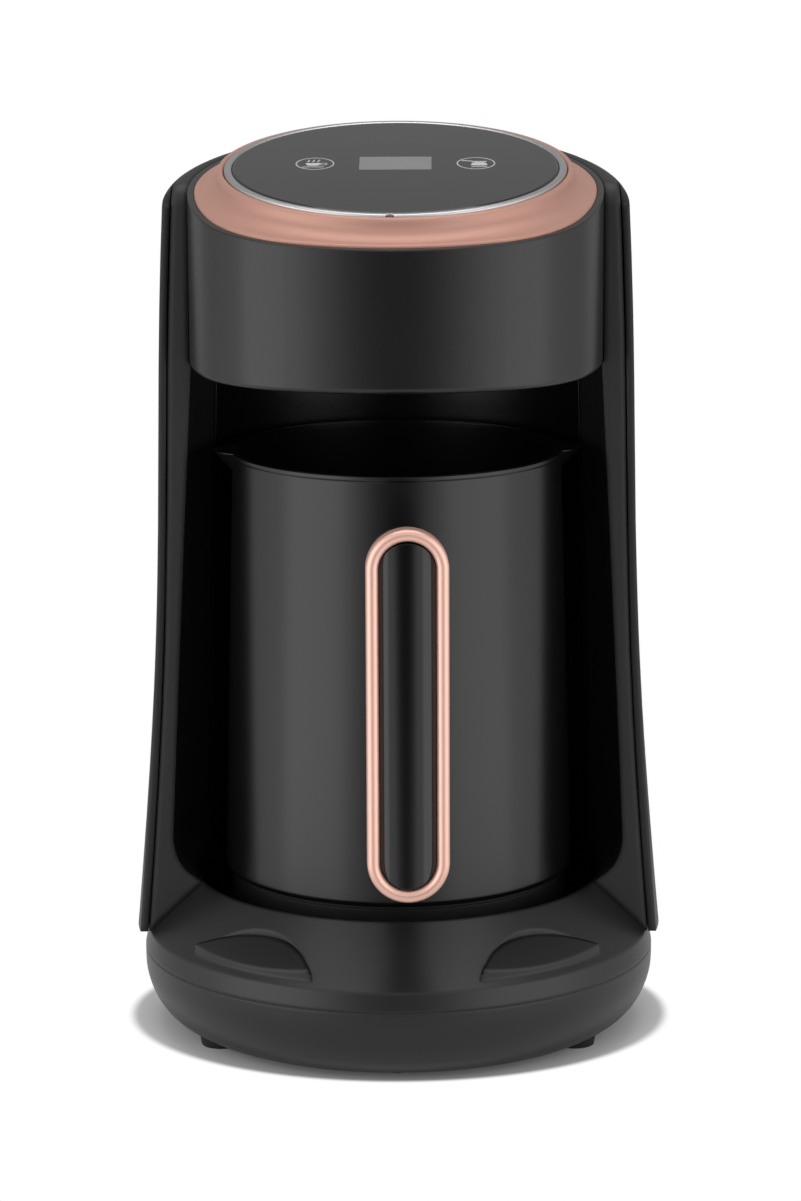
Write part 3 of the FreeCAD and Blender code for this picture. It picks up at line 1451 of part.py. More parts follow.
def make_handle_trim():
    """Polished copper-coloured frame round the front of the grip."""
    body = new_body("trim_body")
    grip_block(body, "trim", "Size.grip_width", "Size.grip_bottom", "Size.grip_top",
               "Size.grip_front", "Size.trim_depth")
    inner = new_sketch(body, "trim_inside", "XZ_Plane", offset="Size.grip_front + 1")
    add_obround(inner, "Size.grip_width - 2 * Size.trim_width",
                "Size.grip_bottom + Size.trim_width + 0.3",
                "Size.grip_top - Size.trim_width - 0.3")
    pocket(body, "trim_opening", inner, "Size.trim_depth + 2")
    round_edges(body, "trim_rounding", 1.5, back_edges("-Size.grip_front"))
    return finish(turn_with_pot(body), "handle_trim")


def make_handle_insert():
    """Crowned black inlay inside the frame."""
    body = new_body("insert_body")
    gap = 0.15
    grip_block(body, "insert", f"Size.grip_width - 2 * Size.trim_width - {2 * gap}",
               f"Size.grip_bottom + Size.trim_width + 0.3 + {gap}",
               f"Size.grip_top - Size.trim_width - 0.3 - {gap}",
               "Size.grip_front", "Size.trim_depth")
    crown = cylinder("insert_crown", INSERT_CROWN, 140, 0,
                     f"{INSERT_CROWN} - Size.grip_front + 0.6", 30)
    return finish(turn_with_pot(common("insert_crowned", [body, crown])), "handle_insert")


MAKERS = (
    make_base_pan, make_bottom_plate, make_feet, make_bottom_screws, make_base_deck,
    make_connector_socket, make_socket_contacts, make_well_seal,
    make_column_housing, make_rear_cover, make_bay_liner,
    make_head_shell, make_ceiling_plate, make_top_ring, make_bezel, make_glass, make_panel_tray,
    make_display, make_touch_pads, make_control_board, make_board_screws, make_buzzer,
    make_foam_sensor, make_sensor_lens,
    make_power_board, make_power_parts, make_terminal_block, make_cord_gland, make_ribbon,
    make_pot_shell, make_pot_skirt, make_pot_seal, make_pot_base_cover, make_pot_base_screws,
    make_heater, make_pot_plug,
    make_handle_core, make_handle_bracket, make_handle_screws, make_handle_trim,
    make_handle_insert,
)


def check_document():
    """Stop before anything is written if an object or a finished shape has failed."""
    for item in DOC.Objects:
        if "Invalid" in item.State or "Error" in item.State:
            raise RuntimeError(f"{item.Name} is {item.State}")
    for item in FINISHED:
        if item.Shape.isNull() or not item.Shape.isValid():
            raise RuntimeError(f"{item.Label} has no valid shape")


fill_sheet()
for make in MAKERS:
    make()
DOC.recompute()
check_document()
os.makedirs("parts", exist_ok=True)
for item in FINISHED:
    item.Shape.exportStep(f"parts/{item.Label}.step")
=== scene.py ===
import json
import math

import bmesh
import bpy
from mathutils import Matrix, Vector


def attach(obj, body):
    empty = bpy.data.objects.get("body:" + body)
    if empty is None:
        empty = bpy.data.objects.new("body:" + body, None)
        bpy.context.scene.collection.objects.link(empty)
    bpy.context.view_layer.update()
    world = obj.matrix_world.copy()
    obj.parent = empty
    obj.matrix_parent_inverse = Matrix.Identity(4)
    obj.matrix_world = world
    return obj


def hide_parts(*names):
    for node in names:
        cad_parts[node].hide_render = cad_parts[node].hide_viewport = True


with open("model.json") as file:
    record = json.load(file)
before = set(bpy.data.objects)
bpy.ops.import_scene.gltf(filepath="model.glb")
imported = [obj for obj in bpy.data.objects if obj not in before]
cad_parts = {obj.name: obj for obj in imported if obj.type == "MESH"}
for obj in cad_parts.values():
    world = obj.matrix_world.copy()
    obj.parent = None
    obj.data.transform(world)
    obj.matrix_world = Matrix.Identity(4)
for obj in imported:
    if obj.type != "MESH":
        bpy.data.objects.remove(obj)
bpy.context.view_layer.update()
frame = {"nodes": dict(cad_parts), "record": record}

MM = 0.001

# Lengths below are in millimetres unless they carry MM.

# The pot's axis stands this far behind the middle of the base.
POT_Y = 7.5 * MM

# The sloped plane of the head's rim: its height on the pot's axis and its tilt.
RIM_HEIGHT = 241 * MM
RIM_TILT = math.radians(9.6)

# The rim's outline: half its width, and the radii of its shallow sides and of its corners.
RIM_HALF = 57
RIM_SIDE = 57 * 1.49
RIM_CORNER = 57 * 0.67

# The handle's front: it is turned a little with the pot, and stands this far from its axis.
POT_TURN = math.radians(2.5)
GRIP_FRONT = 86
GRIP_LOW = 55.3
GRIP_HIGH = 159.3
GRIP_RADIUS = 11.3
GRIP_SIDES = 96

# The frame round the handle's front: its width, its depth and the rounding of its edges.
FRAME_WIDTH = 3.4
FRAME_DEPTH = 4.9
FRAME_ROUND = 1.65

# The glass and its bezel, on a level above the rim plane.
PANEL_RISE = 6.4
GLASS_RADIUS = 46.2
BEZEL_RADIUS = 48.7
BEZEL_SIDES = 192
BEZEL_DEPTH = 3.2
BEZEL_PROUD = 0.3
BEZEL_ROUND = 0.9
GAP_TO_RING = 0.1
GAP_TO_GLASS = 0.15

# The finger notch in the bezel's front.
NOTCH_X = -1.1
NOTCH_OUT = 0.2
NOTCH_RADIUS = 1.3
NOTCH_DEPTH = 8

# The ring's section as (radius, level) over the rim plane. The lip is counted from the ring's
# inner wall; the flare is a quarter of an oval, from its inner top outwards and down.
RING_WALL = BEZEL_RADIUS + 0.1
RING_LIP = [(0, 1.0), (0, 5.6), (0.15, 6.0), (0.5, 6.2), (1.0, 6.2), (1.5, 5.95), (1.8, 5.5)]
FLARE_START, FLARE_REACH = 50.6, 5.9
FLARE_TOP, FLARE_DROP = 5.1, 4.6
RING_FOOT = [(RIM_HALF - 0.2, 0.4), (RIM_HALF, 0.15), (RIM_HALF, -1.4), (RING_WALL + 1, -1.4)]
RING_SIDES = 240

# The display and the two touch symbols, up the slope from the middle of the glass.
DISPLAY_SIZE = (20.5, 13.3)
DISPLAY_CORNER = 0.5
DISPLAY_LEVEL = 0.57
SYMBOL_UP = 1.5
SYMBOL_X = 22.8

# Printed ink: its thickness, its height over the middle of the glass, and the fall of the
# domed glass out to its edge.
INK_THICK = 0.12
INK_LEVEL = 0.63
GLASS_FALL = 0.35


# Colours and shader nodes

def linear(code):
    """An sRGB hex colour as the linear RGBA that a shader reads."""
    values = []
    for start in (0, 2, 4):
        part = int(code[start:start + 2], 16) / 255
        values.append(part / 12.92 if part <= 0.04045 else ((part + 0.055) / 1.055) ** 2.4)
    return (*values, 1.0)


def add_node(tree, kind, settings=None, links=None):
    """Add a shader node, set its properties and sockets, and link sources to its sockets."""
    node = tree.nodes.new(kind)
    for key, value in (settings or {}).items():
        if isinstance(key, int) or key in node.inputs:
            node.inputs[key].default_value = value
        else:
            setattr(node, key, value)
    for key, source in (links or {}).items():
        tree.links.new(source, node.inputs[key])
    return node


def new_material(name):
    """An empty material with its output and one main shader."""
    material = bpy.data.materials.new(name)
    material.use_nodes = True
    tree = material.node_tree
    tree.nodes.clear()
    output = tree.nodes.new("ShaderNodeOutputMaterial")
    shader = tree.nodes.new("ShaderNodeBsdfPrincipled")
    tree.links.new(shader.outputs[0], output.inputs["Surface"])
    return material, tree, shader


# Slow change of colour over a moulding or a coat.
MOTTLE_MM = 12

BUMP_STRENGTH = 0.5
EDGE_SAMPLES = 6


def paint(name, low, high, roughness, grain_mm, bump_mm, edge_mm=0.4, metallic=0.0, spread=0.05,
          ior=None):
    """A finish with a mottled colour from low to high, a fine grain and softened edges.

    The grain of a real mould or coat is under 0.1 mm and wouldn't show, so it is drawn coarser.
    """
    material, tree, shader = new_material(name)
    place = add_node(tree, "ShaderNodeTexCoord").outputs["Object"]
    mottle = add_node(tree, "ShaderNodeTexNoise",
                      {"Scale": 1 / (MOTTLE_MM * MM), "Detail": 3.0}, {"Vector": place})
    colour = add_node(tree, "ShaderNodeMix",
                      {"data_type": "RGBA", 6: linear(low), 7: linear(high)},
                      {0: mottle.outputs[0]})
    grain = add_node(tree, "ShaderNodeTexNoise",
                     {"Scale": 1 / (grain_mm * MM), "Detail": 2.0}, {"Vector": place})
    rough = add_node(tree, "ShaderNodeMapRange",
                     {"To Min": roughness - spread, "To Max": roughness + spread},
                     {"Value": grain.outputs[0]})
    edge = add_node(tree, "ShaderNodeBevel", {"samples": EDGE_SAMPLES, "Radius": edge_mm * MM})
    bump = add_node(tree, "ShaderNodeBump",
                    {"Strength": BUMP_STRENGTH, "Distance": bump_mm * MM},
                    {"Height": grain.outputs[0], "Normal": edge.outputs[0]})
    tree.links.new(colour.outputs[2], shader.inputs["Base Color"])
    tree.links.new(rough.outputs[0], shader.inputs["Roughness"])
    tree.links.new(bump.outputs[0], shader.inputs["Normal"])
    shader.inputs["Metallic"].default_value = metallic
    if ior:
        shader.inputs["IOR"].default_value = ior
    return material


MATERIALS = {
    # Injection-moulded ABS with a satin tool surface: near black, broad soft highlights.
    "black_plastic": paint("satin_moulded_abs", "0d0d0e", "111112", 0.29, 0.5, 0.008,
                           edge_mm=0.9, ior=1.5),
    # The same ABS from a spark-eroded tool: a grain coarse enough to break up the highlights.
    "grained_black_plastic": paint("grained_moulded_abs", "0e0e0f", "161617", 0.46, 0.9, 0.09,
                                   edge_mm=1.6, ior=1.5),
    # ABS moulded against a polished tool: deep black and almost mirror bright.
    "gloss_black_plastic": paint("polished_moulded_abs", "070708", "0a0a0b", 0.14, 0.8, 0.002,
                                 spread=0.02, ior=1.5),
    # Baked non-stick coating on drawn steel: black with a soft, even sheen.
    "black_coated_steel": paint("coated_drawn_steel", "0b0b0c", "0f0f10", 0.28, 0.6, 0.0008,
                                spread=0.01, ior=1.5),
    # Satin metallic lacquer on ABS: warm rose gold with soft highlights.
    "copper_metallic": paint("rose_metallic_lacquer", "c39484", "c89a8b", 0.50, 0.4, 0.003,
                             edge_mm=0.8, metallic=0.45),
    # Rose-gold plating over a softly blasted core: bright, warm and without a sharp mirror.
    "polished_copper": paint("rose_gold_plating", "f0bfae", "f3c6b6", 0.40, 0.8, 0.002,
                             metallic=0.65, spread=0.03),
    # Bright anodised aluminium: a pale ring with a fine, slightly soft reflection.
    "bright_trim": paint("bright_anodised_aluminium", "c4c2c2", "cccaca", 0.34, 0.4, 0.004,
                         metallic=1.0),
    # Toughened glass with a dark back coat: smooth and mirror-like over a dark grey.
    "smoked_glass": paint("back_coated_glass", "1c1c1d", "1e1e1f", 0.08, 5.0, 0.0005,
                          edge_mm=0.3, spread=0.01, ior=1.52),
    # Film of an unlit display: an even, matt mid grey.
    "display_grey": paint("unlit_display_film", "838383", "898989", 0.5, 0.6, 0.002),
    # Moulded rubber: dull and slightly chalky.
    "black_rubber": paint("moulded_rubber", "131313", "191919", 0.7, 0.4, 0.03),
    # Moulded silicone: dull grey with a soft skin.
    "grey_silicone": paint("moulded_silicone", "565658", "5e5e60", 0.5, 0.5, 0.02),
    # Zinc-plated steel: bright grey with a faint blotch.
    "zinc_steel": paint("zinc_plated_steel", "a8aaac", "b8babc", 0.35, 0.3, 0.01, metallic=1.0),
    # Rolled aluminium sheet: pale and softly reflecting.
    "aluminium": paint("rolled_aluminium", "c0c2c4", "cccecf", 0.3, 0.4, 0.01, metallic=1.0),
    # Stamped brass: warm yellow with softly blurred highlights.
    "contact_brass": paint("stamped_brass", "c9a45a", "d2b06a", 0.3, 0.4, 0.01, metallic=1.0),
    # Green solder resist over a glass-fibre board: smooth with a faint unevenness.
    "green_board": paint("solder_resist", "0f4a22", "155a2c", 0.35, 0.8, 0.02),
    # Moulded case of an electric component: smooth deep blue.
    "blue_plastic": paint("blue_moulded_case", "12306e", "16387c", 0.3, 0.6, 0.01),
    # Moulded nylon of a terminal block: milky white with a soft shine.
    "white_plastic": paint("white_moulded_nylon", "d8d8d4", "e0e0dc", 0.45, 0.6, 0.01),
    # Soft PVC jacket of a ribbon cable: even, dull grey.
    "grey_ribbon": paint("ribbon_cable_jacket", "77777a", "808084", 0.5, 0.4, 0.02),
}

# Finishes that one piece has and the rest of its slot doesn't.
MATERIALS.update({
    # Pale ink printed on the glass: flat and matt.
    "panel_ink": paint("pale_printed_ink", "c6c6c6", "cccccc", 0.5, 0.4, 0.001),
    # ABS with a fine silk grain on the flanges: broad soft light and rounded edges.
    "silk_flange": paint("silk_moulded_abs", "1b1b1c", "212122", 0.50, 0.7, 0.02, edge_mm=2.6,
                         ior=1.5),
    # ABS with a matt tool surface on the base: even tones over its slopes, soft edges.
    "matt_base": paint("matt_moulded_abs", "101011", "151516", 0.38, 0.6, 0.012, edge_mm=1.4,
                       ior=1.5),
    # Black silicone of the seals: dull, so the joint under the pot stays dark.
    "black_seal": paint("black_moulded_silicone", "0c0c0c", "101010", 0.6, 0.5, 0.02),
    # Glass-filled nylon of the skirt: dull, and darker than the pot as painted shade under it.
    "skirt_painted_shade": paint("nylon_with_painted_shade", "080808", "0b0b0b", 0.5, 0.6, 0.02, ior=1.45),
})

SLOTS = {part["node"]: part["material_slot"] for part in frame["record"]["subparts"]}
# The skirt's darker finish is painted shade in the gap under the pot.
OWN_FINISH = {"column_housing": "silk_flange", "base_deck": "matt_base", "base_pan": "matt_base",
              "pot_seal": "black_seal", "well_seal": "black_seal", "pot_skirt": "skirt_painted_shade"}

for name, node in frame["nodes"].items():
    node.data.materials.clear()
    node.data.materials.append(MATERIALS[OWN_FINISH.get(name, SLOTS[name])])


# Modelling by hand

def clear_choice():
    """Deselect all objects, so that the next operator acts on its own piece alone."""
    bpy.ops.object.select_all(action="DESELECT")


def open_piece(name):
    """Name the primitive that was just added and open it in edit mode."""
    piece = bpy.context.object
    piece.name = name
    piece.data.name = name
    bpy.ops.object.mode_set(mode="EDIT")
    bpy.ops.mesh.select_all(action="DESELECT")
    return piece


def pick(kind, wanted):
    """In edit mode, select the vertices, edges or faces that wanted accepts."""
    bpy.ops.mesh.select_mode(type=kind)
    bpy.ops.mesh.select_all(action="DESELECT")
    mesh = bmesh.from_edit_mesh(bpy.context.object.data)
    for item in {"VERT": mesh.verts, "EDGE": mesh.edges, "FACE": mesh.faces}[kind]:
        if wanted(item):
            item.select_set(True)
    mesh.select_flush_mode()
    bmesh.update_edit_mesh(bpy.context.object.data)


def every(item):
    """Picks all."""
    return True


def end_faces(face):
    """Picks the two flat ends of an upright slab."""
    return abs(face.normal.z) > 0.9


def upright_edge(edge):
    """Picks the corner edges of a thin flat slab."""
    return abs((edge.verts[0].co - edge.verts[1].co).z) > 0.05 * MM


def rim_edge(level):
    """Picks edges that lie flat on one level between a flat face and a wall."""
    def wanted(edge):
        if any(abs(point.co.z - level) > 1e-6 for point in edge.verts):
            return False
        tilts = [abs(face.normal.z) for face in edge.link_faces]
        return len(tilts) == 2 and min(tilts) < 0.5 < max(tilts)
    return wanted


def close_piece(piece, body, finish, place=(0, 0, 0), turn=(0, 0, 0), angle=35,
                replaces=()):
    """Shade, put in place, give the finish, and hand the piece to its body."""
    bpy.ops.object.mode_set(mode="OBJECT")
    clear_choice()
    piece.select_set(True)
    bpy.context.view_layer.objects.active = piece
    piece.location = place
    piece.rotation_euler = turn
    bpy.ops.object.transform_apply(location=True, rotation=True, scale=True)
    bpy.ops.object.shade_smooth_by_angle(angle=math.radians(angle))
    piece.data.materials.clear()
    piece.data.materials.append(MATERIALS[finish])
    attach(piece, body)
    if replaces:
        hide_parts(*replaces)
    clear_choice()


def on_panel(x, up, level):
    """A place over the tilted rim plane: to the right, up the slope and above it."""
    across = Vector((x, up, level)) * MM
    return Matrix.Rotation(RIM_TILT, 3, "X") @ across + Vector((0, POT_Y, RIM_HEIGHT))


PANEL_TURN = (RIM_TILT, 0, 0)


def on_grip(level):
    """A place on the plane of the handle's front, at a height."""
    away = Matrix.Rotation(POT_TURN, 3, "Z") @ Vector((0, -GRIP_FRONT * MM, 0))
    return Vector((away.x, away.y + POT_Y, level * MM))


GRIP_TURN = (math.radians(90), 0, POT_TURN)


def slab(name, sides, radius, thick):
    """A round slab whose top lies on its own zero level, open in edit mode."""
    clear_choice()
    bpy.ops.mesh.primitive_cylinder_add(vertices=sides, radius=radius * MM, depth=thick * MM,
                                        location=(0, 0, 0))
    piece = open_piece(name)
    pick("VERT", every)
    bpy.ops.transform.translate(value=(0, 0, -thick * MM / 2))
    return piece


def hollow(width):
    """Make the open slab a ring of this width."""
    pick("FACE", end_faces)
    bpy.ops.mesh.inset(thickness=width * MM)
    bpy.ops.mesh.bridge_edge_loops()


# Handle

def make_handle_frame():
    """Polished frame with a half-round section round the front of the grip."""
    piece = slab("handle_frame", GRIP_SIDES, GRIP_RADIUS, FRAME_DEPTH)
    pick("VERT", lambda point: point.co.y > 1e-6)
    straight = GRIP_HIGH - GRIP_LOW - 2 * GRIP_RADIUS
    bpy.ops.transform.translate(value=(0, straight * MM, 0))
    hollow(FRAME_WIDTH)
    pick("EDGE", rim_edge(0))
    bpy.ops.mesh.bevel(offset=FRAME_ROUND * MM, segments=7, affect="EDGES")
    close_piece(piece, "pot", "polished_copper",
                on_grip(GRIP_LOW + GRIP_RADIUS), GRIP_TURN, replaces=("handle_trim",))


# Touch panel

def make_bezel():
    """Bright ring round the glass with rounded edges and a half-round notch in front."""
    piece = slab("bezel_ring", BEZEL_SIDES, BEZEL_RADIUS - GAP_TO_RING, BEZEL_DEPTH)
    hollow(BEZEL_RADIUS - GLASS_RADIUS - GAP_TO_GLASS)
    pick("EDGE", rim_edge(0))
    bpy.ops.mesh.bevel(offset=BEZEL_ROUND * MM, segments=5, affect="EDGES")
    bpy.ops.object.mode_set(mode="OBJECT")
    clear_choice()
    bpy.ops.mesh.primitive_cylinder_add(
        vertices=32, radius=NOTCH_RADIUS * MM, depth=NOTCH_DEPTH * MM,
        location=(NOTCH_X * MM, -(BEZEL_RADIUS + NOTCH_OUT) * MM, 0))
    cutter = bpy.context.object
    clear_choice()
    bpy.context.view_layer.objects.active = piece
    piece.select_set(True)
    notch = piece.modifiers.new("notch", "BOOLEAN")
    notch.operation = "DIFFERENCE"
    notch.object = cutter
    bpy.ops.object.modifier_apply(modifier=notch.name)
    bpy.data.objects.remove(cutter)
    bpy.ops.object.mode_set(mode="EDIT")
    close_piece(piece, "machine", "bright_trim",
                on_panel(0, 0, PANEL_RISE + BEZEL_PROUD), PANEL_TURN,
                replaces=("panel_bezel",))


def rim_reach(angle):
    """How far the head's rounded-square rim reaches at an angle from its middle."""
    if math.sin(angle) > 0:
        return RIM_HALF
    fold = abs(math.remainder(angle, math.pi / 2))
    side_shift = RIM_SIDE - RIM_HALF
    corner = (math.sqrt(2 * (RIM_SIDE - RIM_CORNER) ** 2 - side_shift ** 2) - side_shift) / 2
    sweep = math.atan2(corner, corner + side_shift)
    meet = math.atan2(RIM_SIDE * math.sin(sweep), RIM_SIDE * math.cos(sweep) - side_shift)
    if fold < meet:
        root = RIM_SIDE ** 2 - (side_shift * math.sin(fold)) ** 2
        return math.sqrt(root) - side_shift * math.cos(fold)
    along = corner * (math.cos(fold) + math.sin(fold))
    return along + math.sqrt(RIM_CORNER ** 2 - 2 * corner ** 2 + along ** 2)


def ring_section():
    """The ring's section, from its inner wall over the lip and down the flare to its foot."""
    lip = [(RING_WALL + out, level) for out, level in RING_LIP]
    flare = [(FLARE_START + FLARE_REACH * (1 - math.cos(turn)),
              FLARE_TOP - FLARE_DROP * math.sin(turn))
             for turn in [math.radians(step) for step in range(8, 91, 8)]]
    return lip + flare + RING_FOOT


def make_top_ring():
    """Ring whose upright wall rounds over into a hollow flare out to the head's rim."""
    line = ring_section()
    clear_choice()
    bpy.ops.mesh.primitive_circle_add(vertices=RING_SIDES, radius=line[0][0] * MM,
                                      location=(0, 0, line[0][1] * MM))
    bpy.ops.object.transform_apply(location=True, rotation=False, scale=False)
    piece = open_piece("top_ring")
    pick("VERT", every)
    for (radius, level), (wider, higher) in zip(line, line[1:]):
        bpy.ops.mesh.extrude_region_move(
            TRANSFORM_OT_translate={"value": (0, 0, (higher - level) * MM)})
        bpy.ops.transform.resize(value=(wider / radius, wider / radius, 1),
                                 center_override=(0, 0, higher * MM))
    pick("EDGE", lambda edge: edge.is_boundary)
    bpy.ops.mesh.bridge_edge_loops()
    # The inner wall stays round; further out the ring takes on the rim's rounded square.
    mesh = bmesh.from_edit_mesh(piece.data)
    for point in mesh.verts:
        reach = math.hypot(point.co.x, point.co.y) / MM
        outward = max(0, (reach - RING_WALL) / (RIM_HALF - RING_WALL))
        corner = rim_reach(math.atan2(point.co.y, point.co.x)) - RIM_HALF
        wider = (reach + corner * outward) / reach
        point.co.x *= wider
        point.co.y *= wider
    bmesh.update_edit_mesh(piece.data)
    bpy.ops.mesh.select_all(action="SELECT")
    bpy.ops.mesh.normals_make_consistent(inside=False)
    close_piece(piece, "machine", "copper_metallic", on_panel(0, 0, 0),
                PANEL_TURN, 60, replaces=("head_top_ring",))


def ink_block(name, length, height):
    """A thin rectangular slab round its own middle, open in edit mode."""
    clear_choice()
    bpy.ops.mesh.primitive_cube_add(size=1, location=(0, 0, 0),
                                    scale=(length * MM, height * MM, INK_THICK * MM))
    bpy.ops.object.transform_apply(location=False, rotation=False, scale=True)
    return open_piece(name)


def make_display_face():
    """Grey window of the display with rounded corners."""
    piece = ink_block("display_face", *DISPLAY_SIZE)
    pick("EDGE", upright_edge)
    bpy.ops.mesh.bevel(offset=DISPLAY_CORNER * MM, segments=4, affect="EDGES")
    close_piece(piece, "machine", "display_grey",
                on_panel(0, SYMBOL_UP, PANEL_RISE + DISPLAY_LEVEL), PANEL_TURN)


def print_ink(piece, x, up):
    """Lay a closed shape on the domed glass as printed ink, a hair above it."""
    away = math.hypot(x, up) / GLASS_RADIUS
    place = on_panel(x, up, PANEL_RISE + INK_LEVEL - GLASS_FALL * away ** 2)
    close_piece(piece, "machine", "panel_ink", place, PANEL_TURN)


def ink_ring(name, x, up, outer, width, stretch=1.0, sides=72):
    """A flat printed ring, or an oval one."""
    piece = slab(name, sides, outer, INK_THICK)
    hollow(width)
    pick("VERT", every)
    bpy.ops.transform.resize(value=(1, stretch, 1))
    print_ink(piece, x, up)


def ink_bar(name, x, up, length, height, slant=0.0, taper=1.0):
    """A flat printed bar with round ends, leaning by slant, its upper edge scaled by taper."""
    piece = ink_block(name, length, height)
    pick("VERT", lambda point: point.co.y > 0)
    bpy.ops.transform.resize(value=(taper, 1, 1), center_override=(0, height * MM / 2, 0))
    pick("EDGE", upright_edge)
    bpy.ops.mesh.bevel(offset=min(length, height) * 0.3 * MM, segments=3, affect="EDGES")
    bpy.ops.object.mode_set(mode="OBJECT")
    piece.rotation_euler = (0, 0, slant)
    bpy.ops.object.transform_apply(location=False, rotation=True, scale=False)
    bpy.ops.object.mode_set(mode="EDIT")
    print_ink(piece, x, up)


def make_key_ring(side, x):
    """The oval line round one touch symbol."""
    ink_ring(f"key_ring_{side}", x, SYMBOL_UP, 5.5, 0.42, 1.1)


def make_cup_icon(x):
    """A small cup on a saucer under three wisps of steam."""
    ink_bar("cup_bowl", x - 0.5, 0.6, 3.2, 2.9, 0, 1.5)
    ink_bar("cup_saucer", x - 0.5, -2.0, 6.2, 0.6)
    ink_ring("cup_ear", x + 2.4, 1.1, 1.15, 0.42, 1.0, 32)
    for index, shift in enumerate((-1.8, -0.4, 1.0)):
        ink_bar(f"cup_steam_{index}", x + shift, 4.2, 0.5, 2.0, math.radians(-14))


def make_cezve_icon(x):
    """A small long-handled coffee pot over a short flame line."""
    ink_bar("cezve_bowl", x + 0.9, 0.7, 5.2, 3.4, 0, 0.7)
    ink_bar("cezve_collar", x + 0.9, 3.1, 4.4, 0.8)
    ink_bar("cezve_grip", x - 2.6, 3.8, 3.4, 0.7, math.radians(-16))
    ink_bar("cezve_flame", x + 0.9, -2.2, 4.6, 0.6)


# Floor, light and camera

# The paper turns white past an oval just outside the base: the squeeze of the oval, and where
# the white begins and is full. Its reflection in the black base is whitened less.
FLOOR_RADIUS = 0.22
OVAL_SQUEEZE = (1.02, 1.22, 1)
WHITE_BEGINS = 0.0775
WHITE_FULL = 0.0815
MIRRORED_LOSS = -0.6
PAPER_LIFT = 0.04

# Strength of the gloss world along an axis: from, to, and the strength before and after.
WORLD_BANDS = (
    ("Y", -0.985, -0.87, 0.06, 1.05),
    ("Y", -0.1, 0.75, 1.0, 0.36),
    ("Z", 0.5, 0.9, 1.0, 0.5),
)
WORLD_FILL = 0.5

# Softboxes: name, place, width and height in metres, and power in watts.
SOFTBOX_AIM = (0, 0, 0.1)
SOFTBOXES = (
    ("left_softbox", (-1.05, -0.68, 0.2), 1.1, 1.6, 5.6),
    ("right_softbox", (1.05, -0.68, 0.2), 1.1, 1.6, 4.2),
    ("top_softbox", (0, 0.1, 1.3), 1.0, 0.8, 5),
)

# The photograph's view: the focal length in its own pixels, its height, and the camera's turns.
SENSOR = 36
FOCAL_PIXELS = 4200
PICTURE_HEIGHT = 1201
CAMERA_TARGET = (0.9 * MM, POT_Y, 121.5 * MM)
CAMERA_DISTANCE = 1.216
CAMERA_PITCH = math.radians(12.2)
CAMERA_YAW = math.radians(0.6)
CAMERA_ROLL = math.radians(-0.25)


def background_rays(tree):
    """1 for the rays that show the white background: seen, mirrored or seen through glass."""
    rays = add_node(tree, "ShaderNodeLightPath")
    seen = add_node(tree, "ShaderNodeMath", {"operation": "MAXIMUM"},
                    {0: rays.outputs["Is Camera Ray"], 1: rays.outputs["Is Glossy Ray"]})
    through = add_node(tree, "ShaderNodeMath", {"operation": "MAXIMUM"},
                       {0: seen.outputs[0], 1: rays.outputs["Is Transmission Ray"]})
    return through.outputs[0]


def white_share(tree):
    """How white the paper is seen: 0 round the base, 1 past the oval, less when mirrored."""
    place = add_node(tree, "ShaderNodeTexCoord")
    oval = add_node(tree, "ShaderNodeVectorMath", {"operation": "MULTIPLY", 1: OVAL_SQUEEZE},
                    {0: place.outputs["Object"]})
    away = add_node(tree, "ShaderNodeVectorMath", {"operation": "LENGTH"},
                    {0: oval.outputs[0]})
    past = add_node(tree, "ShaderNodeMapRange",
                    {"interpolation_type": "SMOOTHSTEP", "From Min": WHITE_BEGINS,
                     "From Max": WHITE_FULL}, {"Value": away.outputs["Value"]})
    rays = add_node(tree, "ShaderNodeLightPath")
    mirrored = add_node(tree, "ShaderNodeMath",
                        {"operation": "MULTIPLY_ADD", 1: MIRRORED_LOSS, 2: 1.0},
                        {0: rays.outputs["Is Glossy Ray"]})
    share = add_node(tree, "ShaderNodeMath", {"operation": "MULTIPLY"},
                     {0: past.outputs[0], 1: mirrored.outputs[0]})
    return share.outputs[0]


def make_floor():
    """A round sheet of white paper that keeps the contact shadow and fades into the backdrop."""
    clear_choice()
    bpy.ops.mesh.primitive_circle_add(vertices=96, radius=FLOOR_RADIUS, fill_type="NGON",
                                      location=(0, 0, 0))
    floor = bpy.context.object
    floor.name = "studio_floor"
    # Uncoated paper: pale, even and without a highlight.
    material, tree, paper = new_material("white_paper_floor")
    paper.inputs["Base Color"].default_value = linear("e8e8e8")
    paper.inputs["Roughness"].default_value = 0.9
    paper.inputs["Specular IOR Level"].default_value = 0.0
    lift = add_node(tree, "ShaderNodeEmission", {"Strength": PAPER_LIFT})
    near = add_node(tree, "ShaderNodeAddShader", links={0: paper.outputs[0], 1: lift.outputs[0]})
    white = add_node(tree, "ShaderNodeEmission", {"Strength": 1.0})
    shown = add_node(tree, "ShaderNodeMixShader",
                     links={0: white_share(tree), 1: near.outputs[0], 2: white.outputs[0]})
    choose = add_node(tree, "ShaderNodeMixShader",
                      links={0: background_rays(tree), 1: paper.outputs[0],
                             2: shown.outputs[0]})
    tree.links.new(choose.outputs[0], tree.nodes["Material Output"].inputs["Surface"])
    floor.data.materials.append(material)


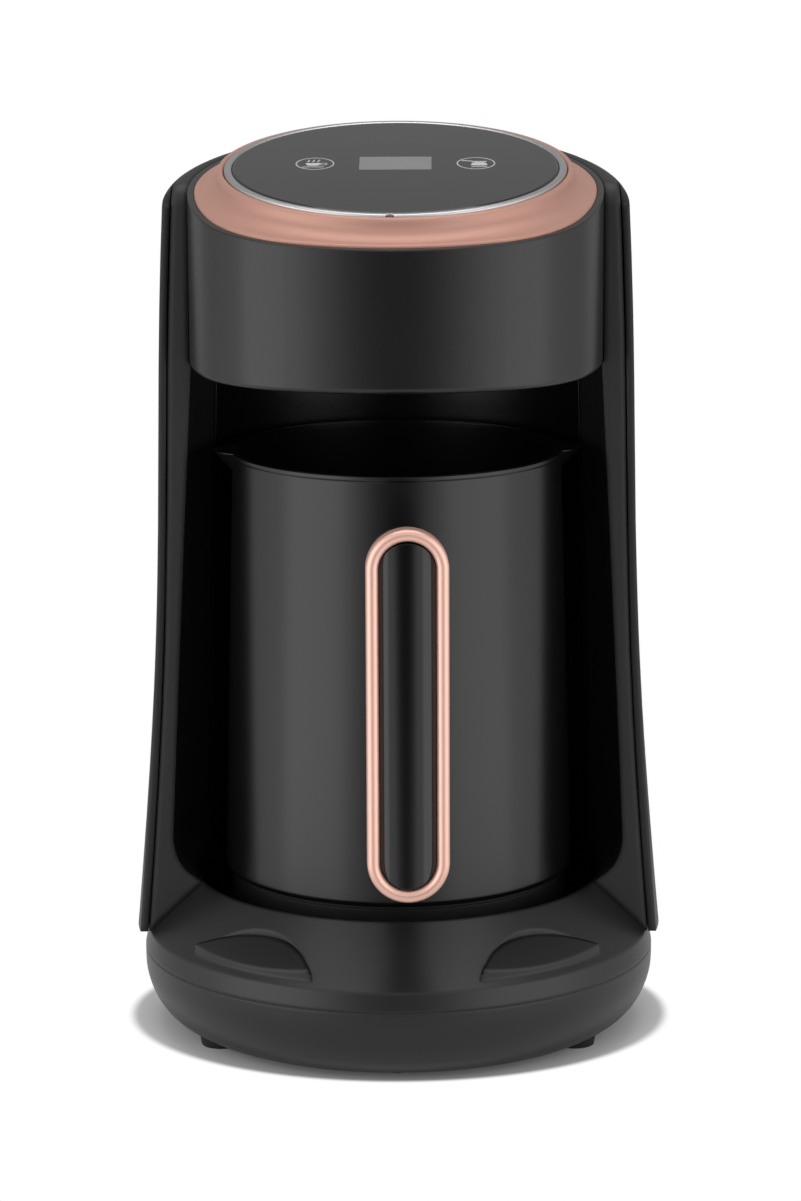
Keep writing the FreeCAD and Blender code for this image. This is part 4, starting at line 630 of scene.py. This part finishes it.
def make_world():
    """White behind the machine; for gloss, bright to both sides and dim in front and above."""
    world = bpy.data.worlds.new("studio")
    bpy.context.scene.world = world
    world.use_nodes = True
    tree = world.node_tree
    tree.nodes.clear()
    way = add_node(tree, "ShaderNodeTexCoord")
    split = add_node(tree, "ShaderNodeSeparateXYZ", links={"Vector": way.outputs["Generated"]})
    level = None
    for axis, start, end, before, after in WORLD_BANDS:
        band = add_node(tree, "ShaderNodeMapRange",
                        {"interpolation_type": "SMOOTHSTEP", "From Min": start, "From Max": end,
                         "To Min": before, "To Max": after}, {"Value": split.outputs[axis]})
        if level:
            band = add_node(tree, "ShaderNodeMath", {"operation": "MULTIPLY"},
                            {0: level, 1: band.outputs[0]})
        level = band.outputs[0]
    rays = add_node(tree, "ShaderNodeLightPath")
    clear = add_node(tree, "ShaderNodeMath", {"operation": "MAXIMUM"},
                     {0: rays.outputs["Is Camera Ray"], 1: level})
    backdrop = add_node(tree, "ShaderNodeBackground", {"Color": linear("ffffff")},
                        {"Strength": clear.outputs[0]})
    fill = add_node(tree, "ShaderNodeBackground",
                    {"Color": linear("ffffff"), "Strength": WORLD_FILL})
    choose = add_node(tree, "ShaderNodeMixShader",
                      links={0: background_rays(tree), 1: fill.outputs[0],
                             2: backdrop.outputs[0]})
    add_node(tree, "ShaderNodeOutputWorld", links={"Surface": choose.outputs[0]})


def make_softbox(name, place, width, height, power):
    """A rectangular lamp at a place, turned towards the machine."""
    light = bpy.data.lights.new(name, "AREA")
    light.shape = "RECTANGLE"
    light.size = width
    light.size_y = height
    light.energy = power
    lamp = bpy.data.objects.new(name, light)
    bpy.context.scene.collection.objects.link(lamp)
    lamp.location = place
    towards = Vector(SOFTBOX_AIM) - Vector(place)
    lamp.rotation_euler = towards.to_track_quat("-Z", "Y").to_euler()


def make_camera():
    """Long lens from the front, a little above the head, as the machine is photographed."""
    lens = bpy.data.cameras.new("camera")
    lens.sensor_fit = "AUTO"
    lens.sensor_width = SENSOR
    lens.lens = SENSOR * FOCAL_PIXELS / PICTURE_HEIGHT
    lens.clip_end = 20
    camera = bpy.data.objects.new("camera", lens)
    bpy.context.scene.collection.objects.link(camera)
    away = Vector((math.sin(CAMERA_YAW) * math.cos(CAMERA_PITCH),
                   -math.cos(CAMERA_YAW) * math.cos(CAMERA_PITCH), math.sin(CAMERA_PITCH)))
    camera.location = Vector(CAMERA_TARGET) + away * CAMERA_DISTANCE
    turn = (-away).to_track_quat("-Z", "Y").to_matrix()
    camera.rotation_euler = (turn @ Matrix.Rotation(CAMERA_ROLL, 3, "Z")).to_euler()
    bpy.context.scene.camera = camera


make_camera()
make_handle_frame()
make_top_ring()
make_bezel()
make_display_face()
make_key_ring("left", -SYMBOL_X)
make_key_ring("right", SYMBOL_X)
make_cup_icon(-SYMBOL_X)
make_cezve_icon(SYMBOL_X)

make_floor()
make_world()
for softbox in SOFTBOXES:
    make_softbox(*softbox)

bpy.context.scene.view_settings.view_transform = "Standard"
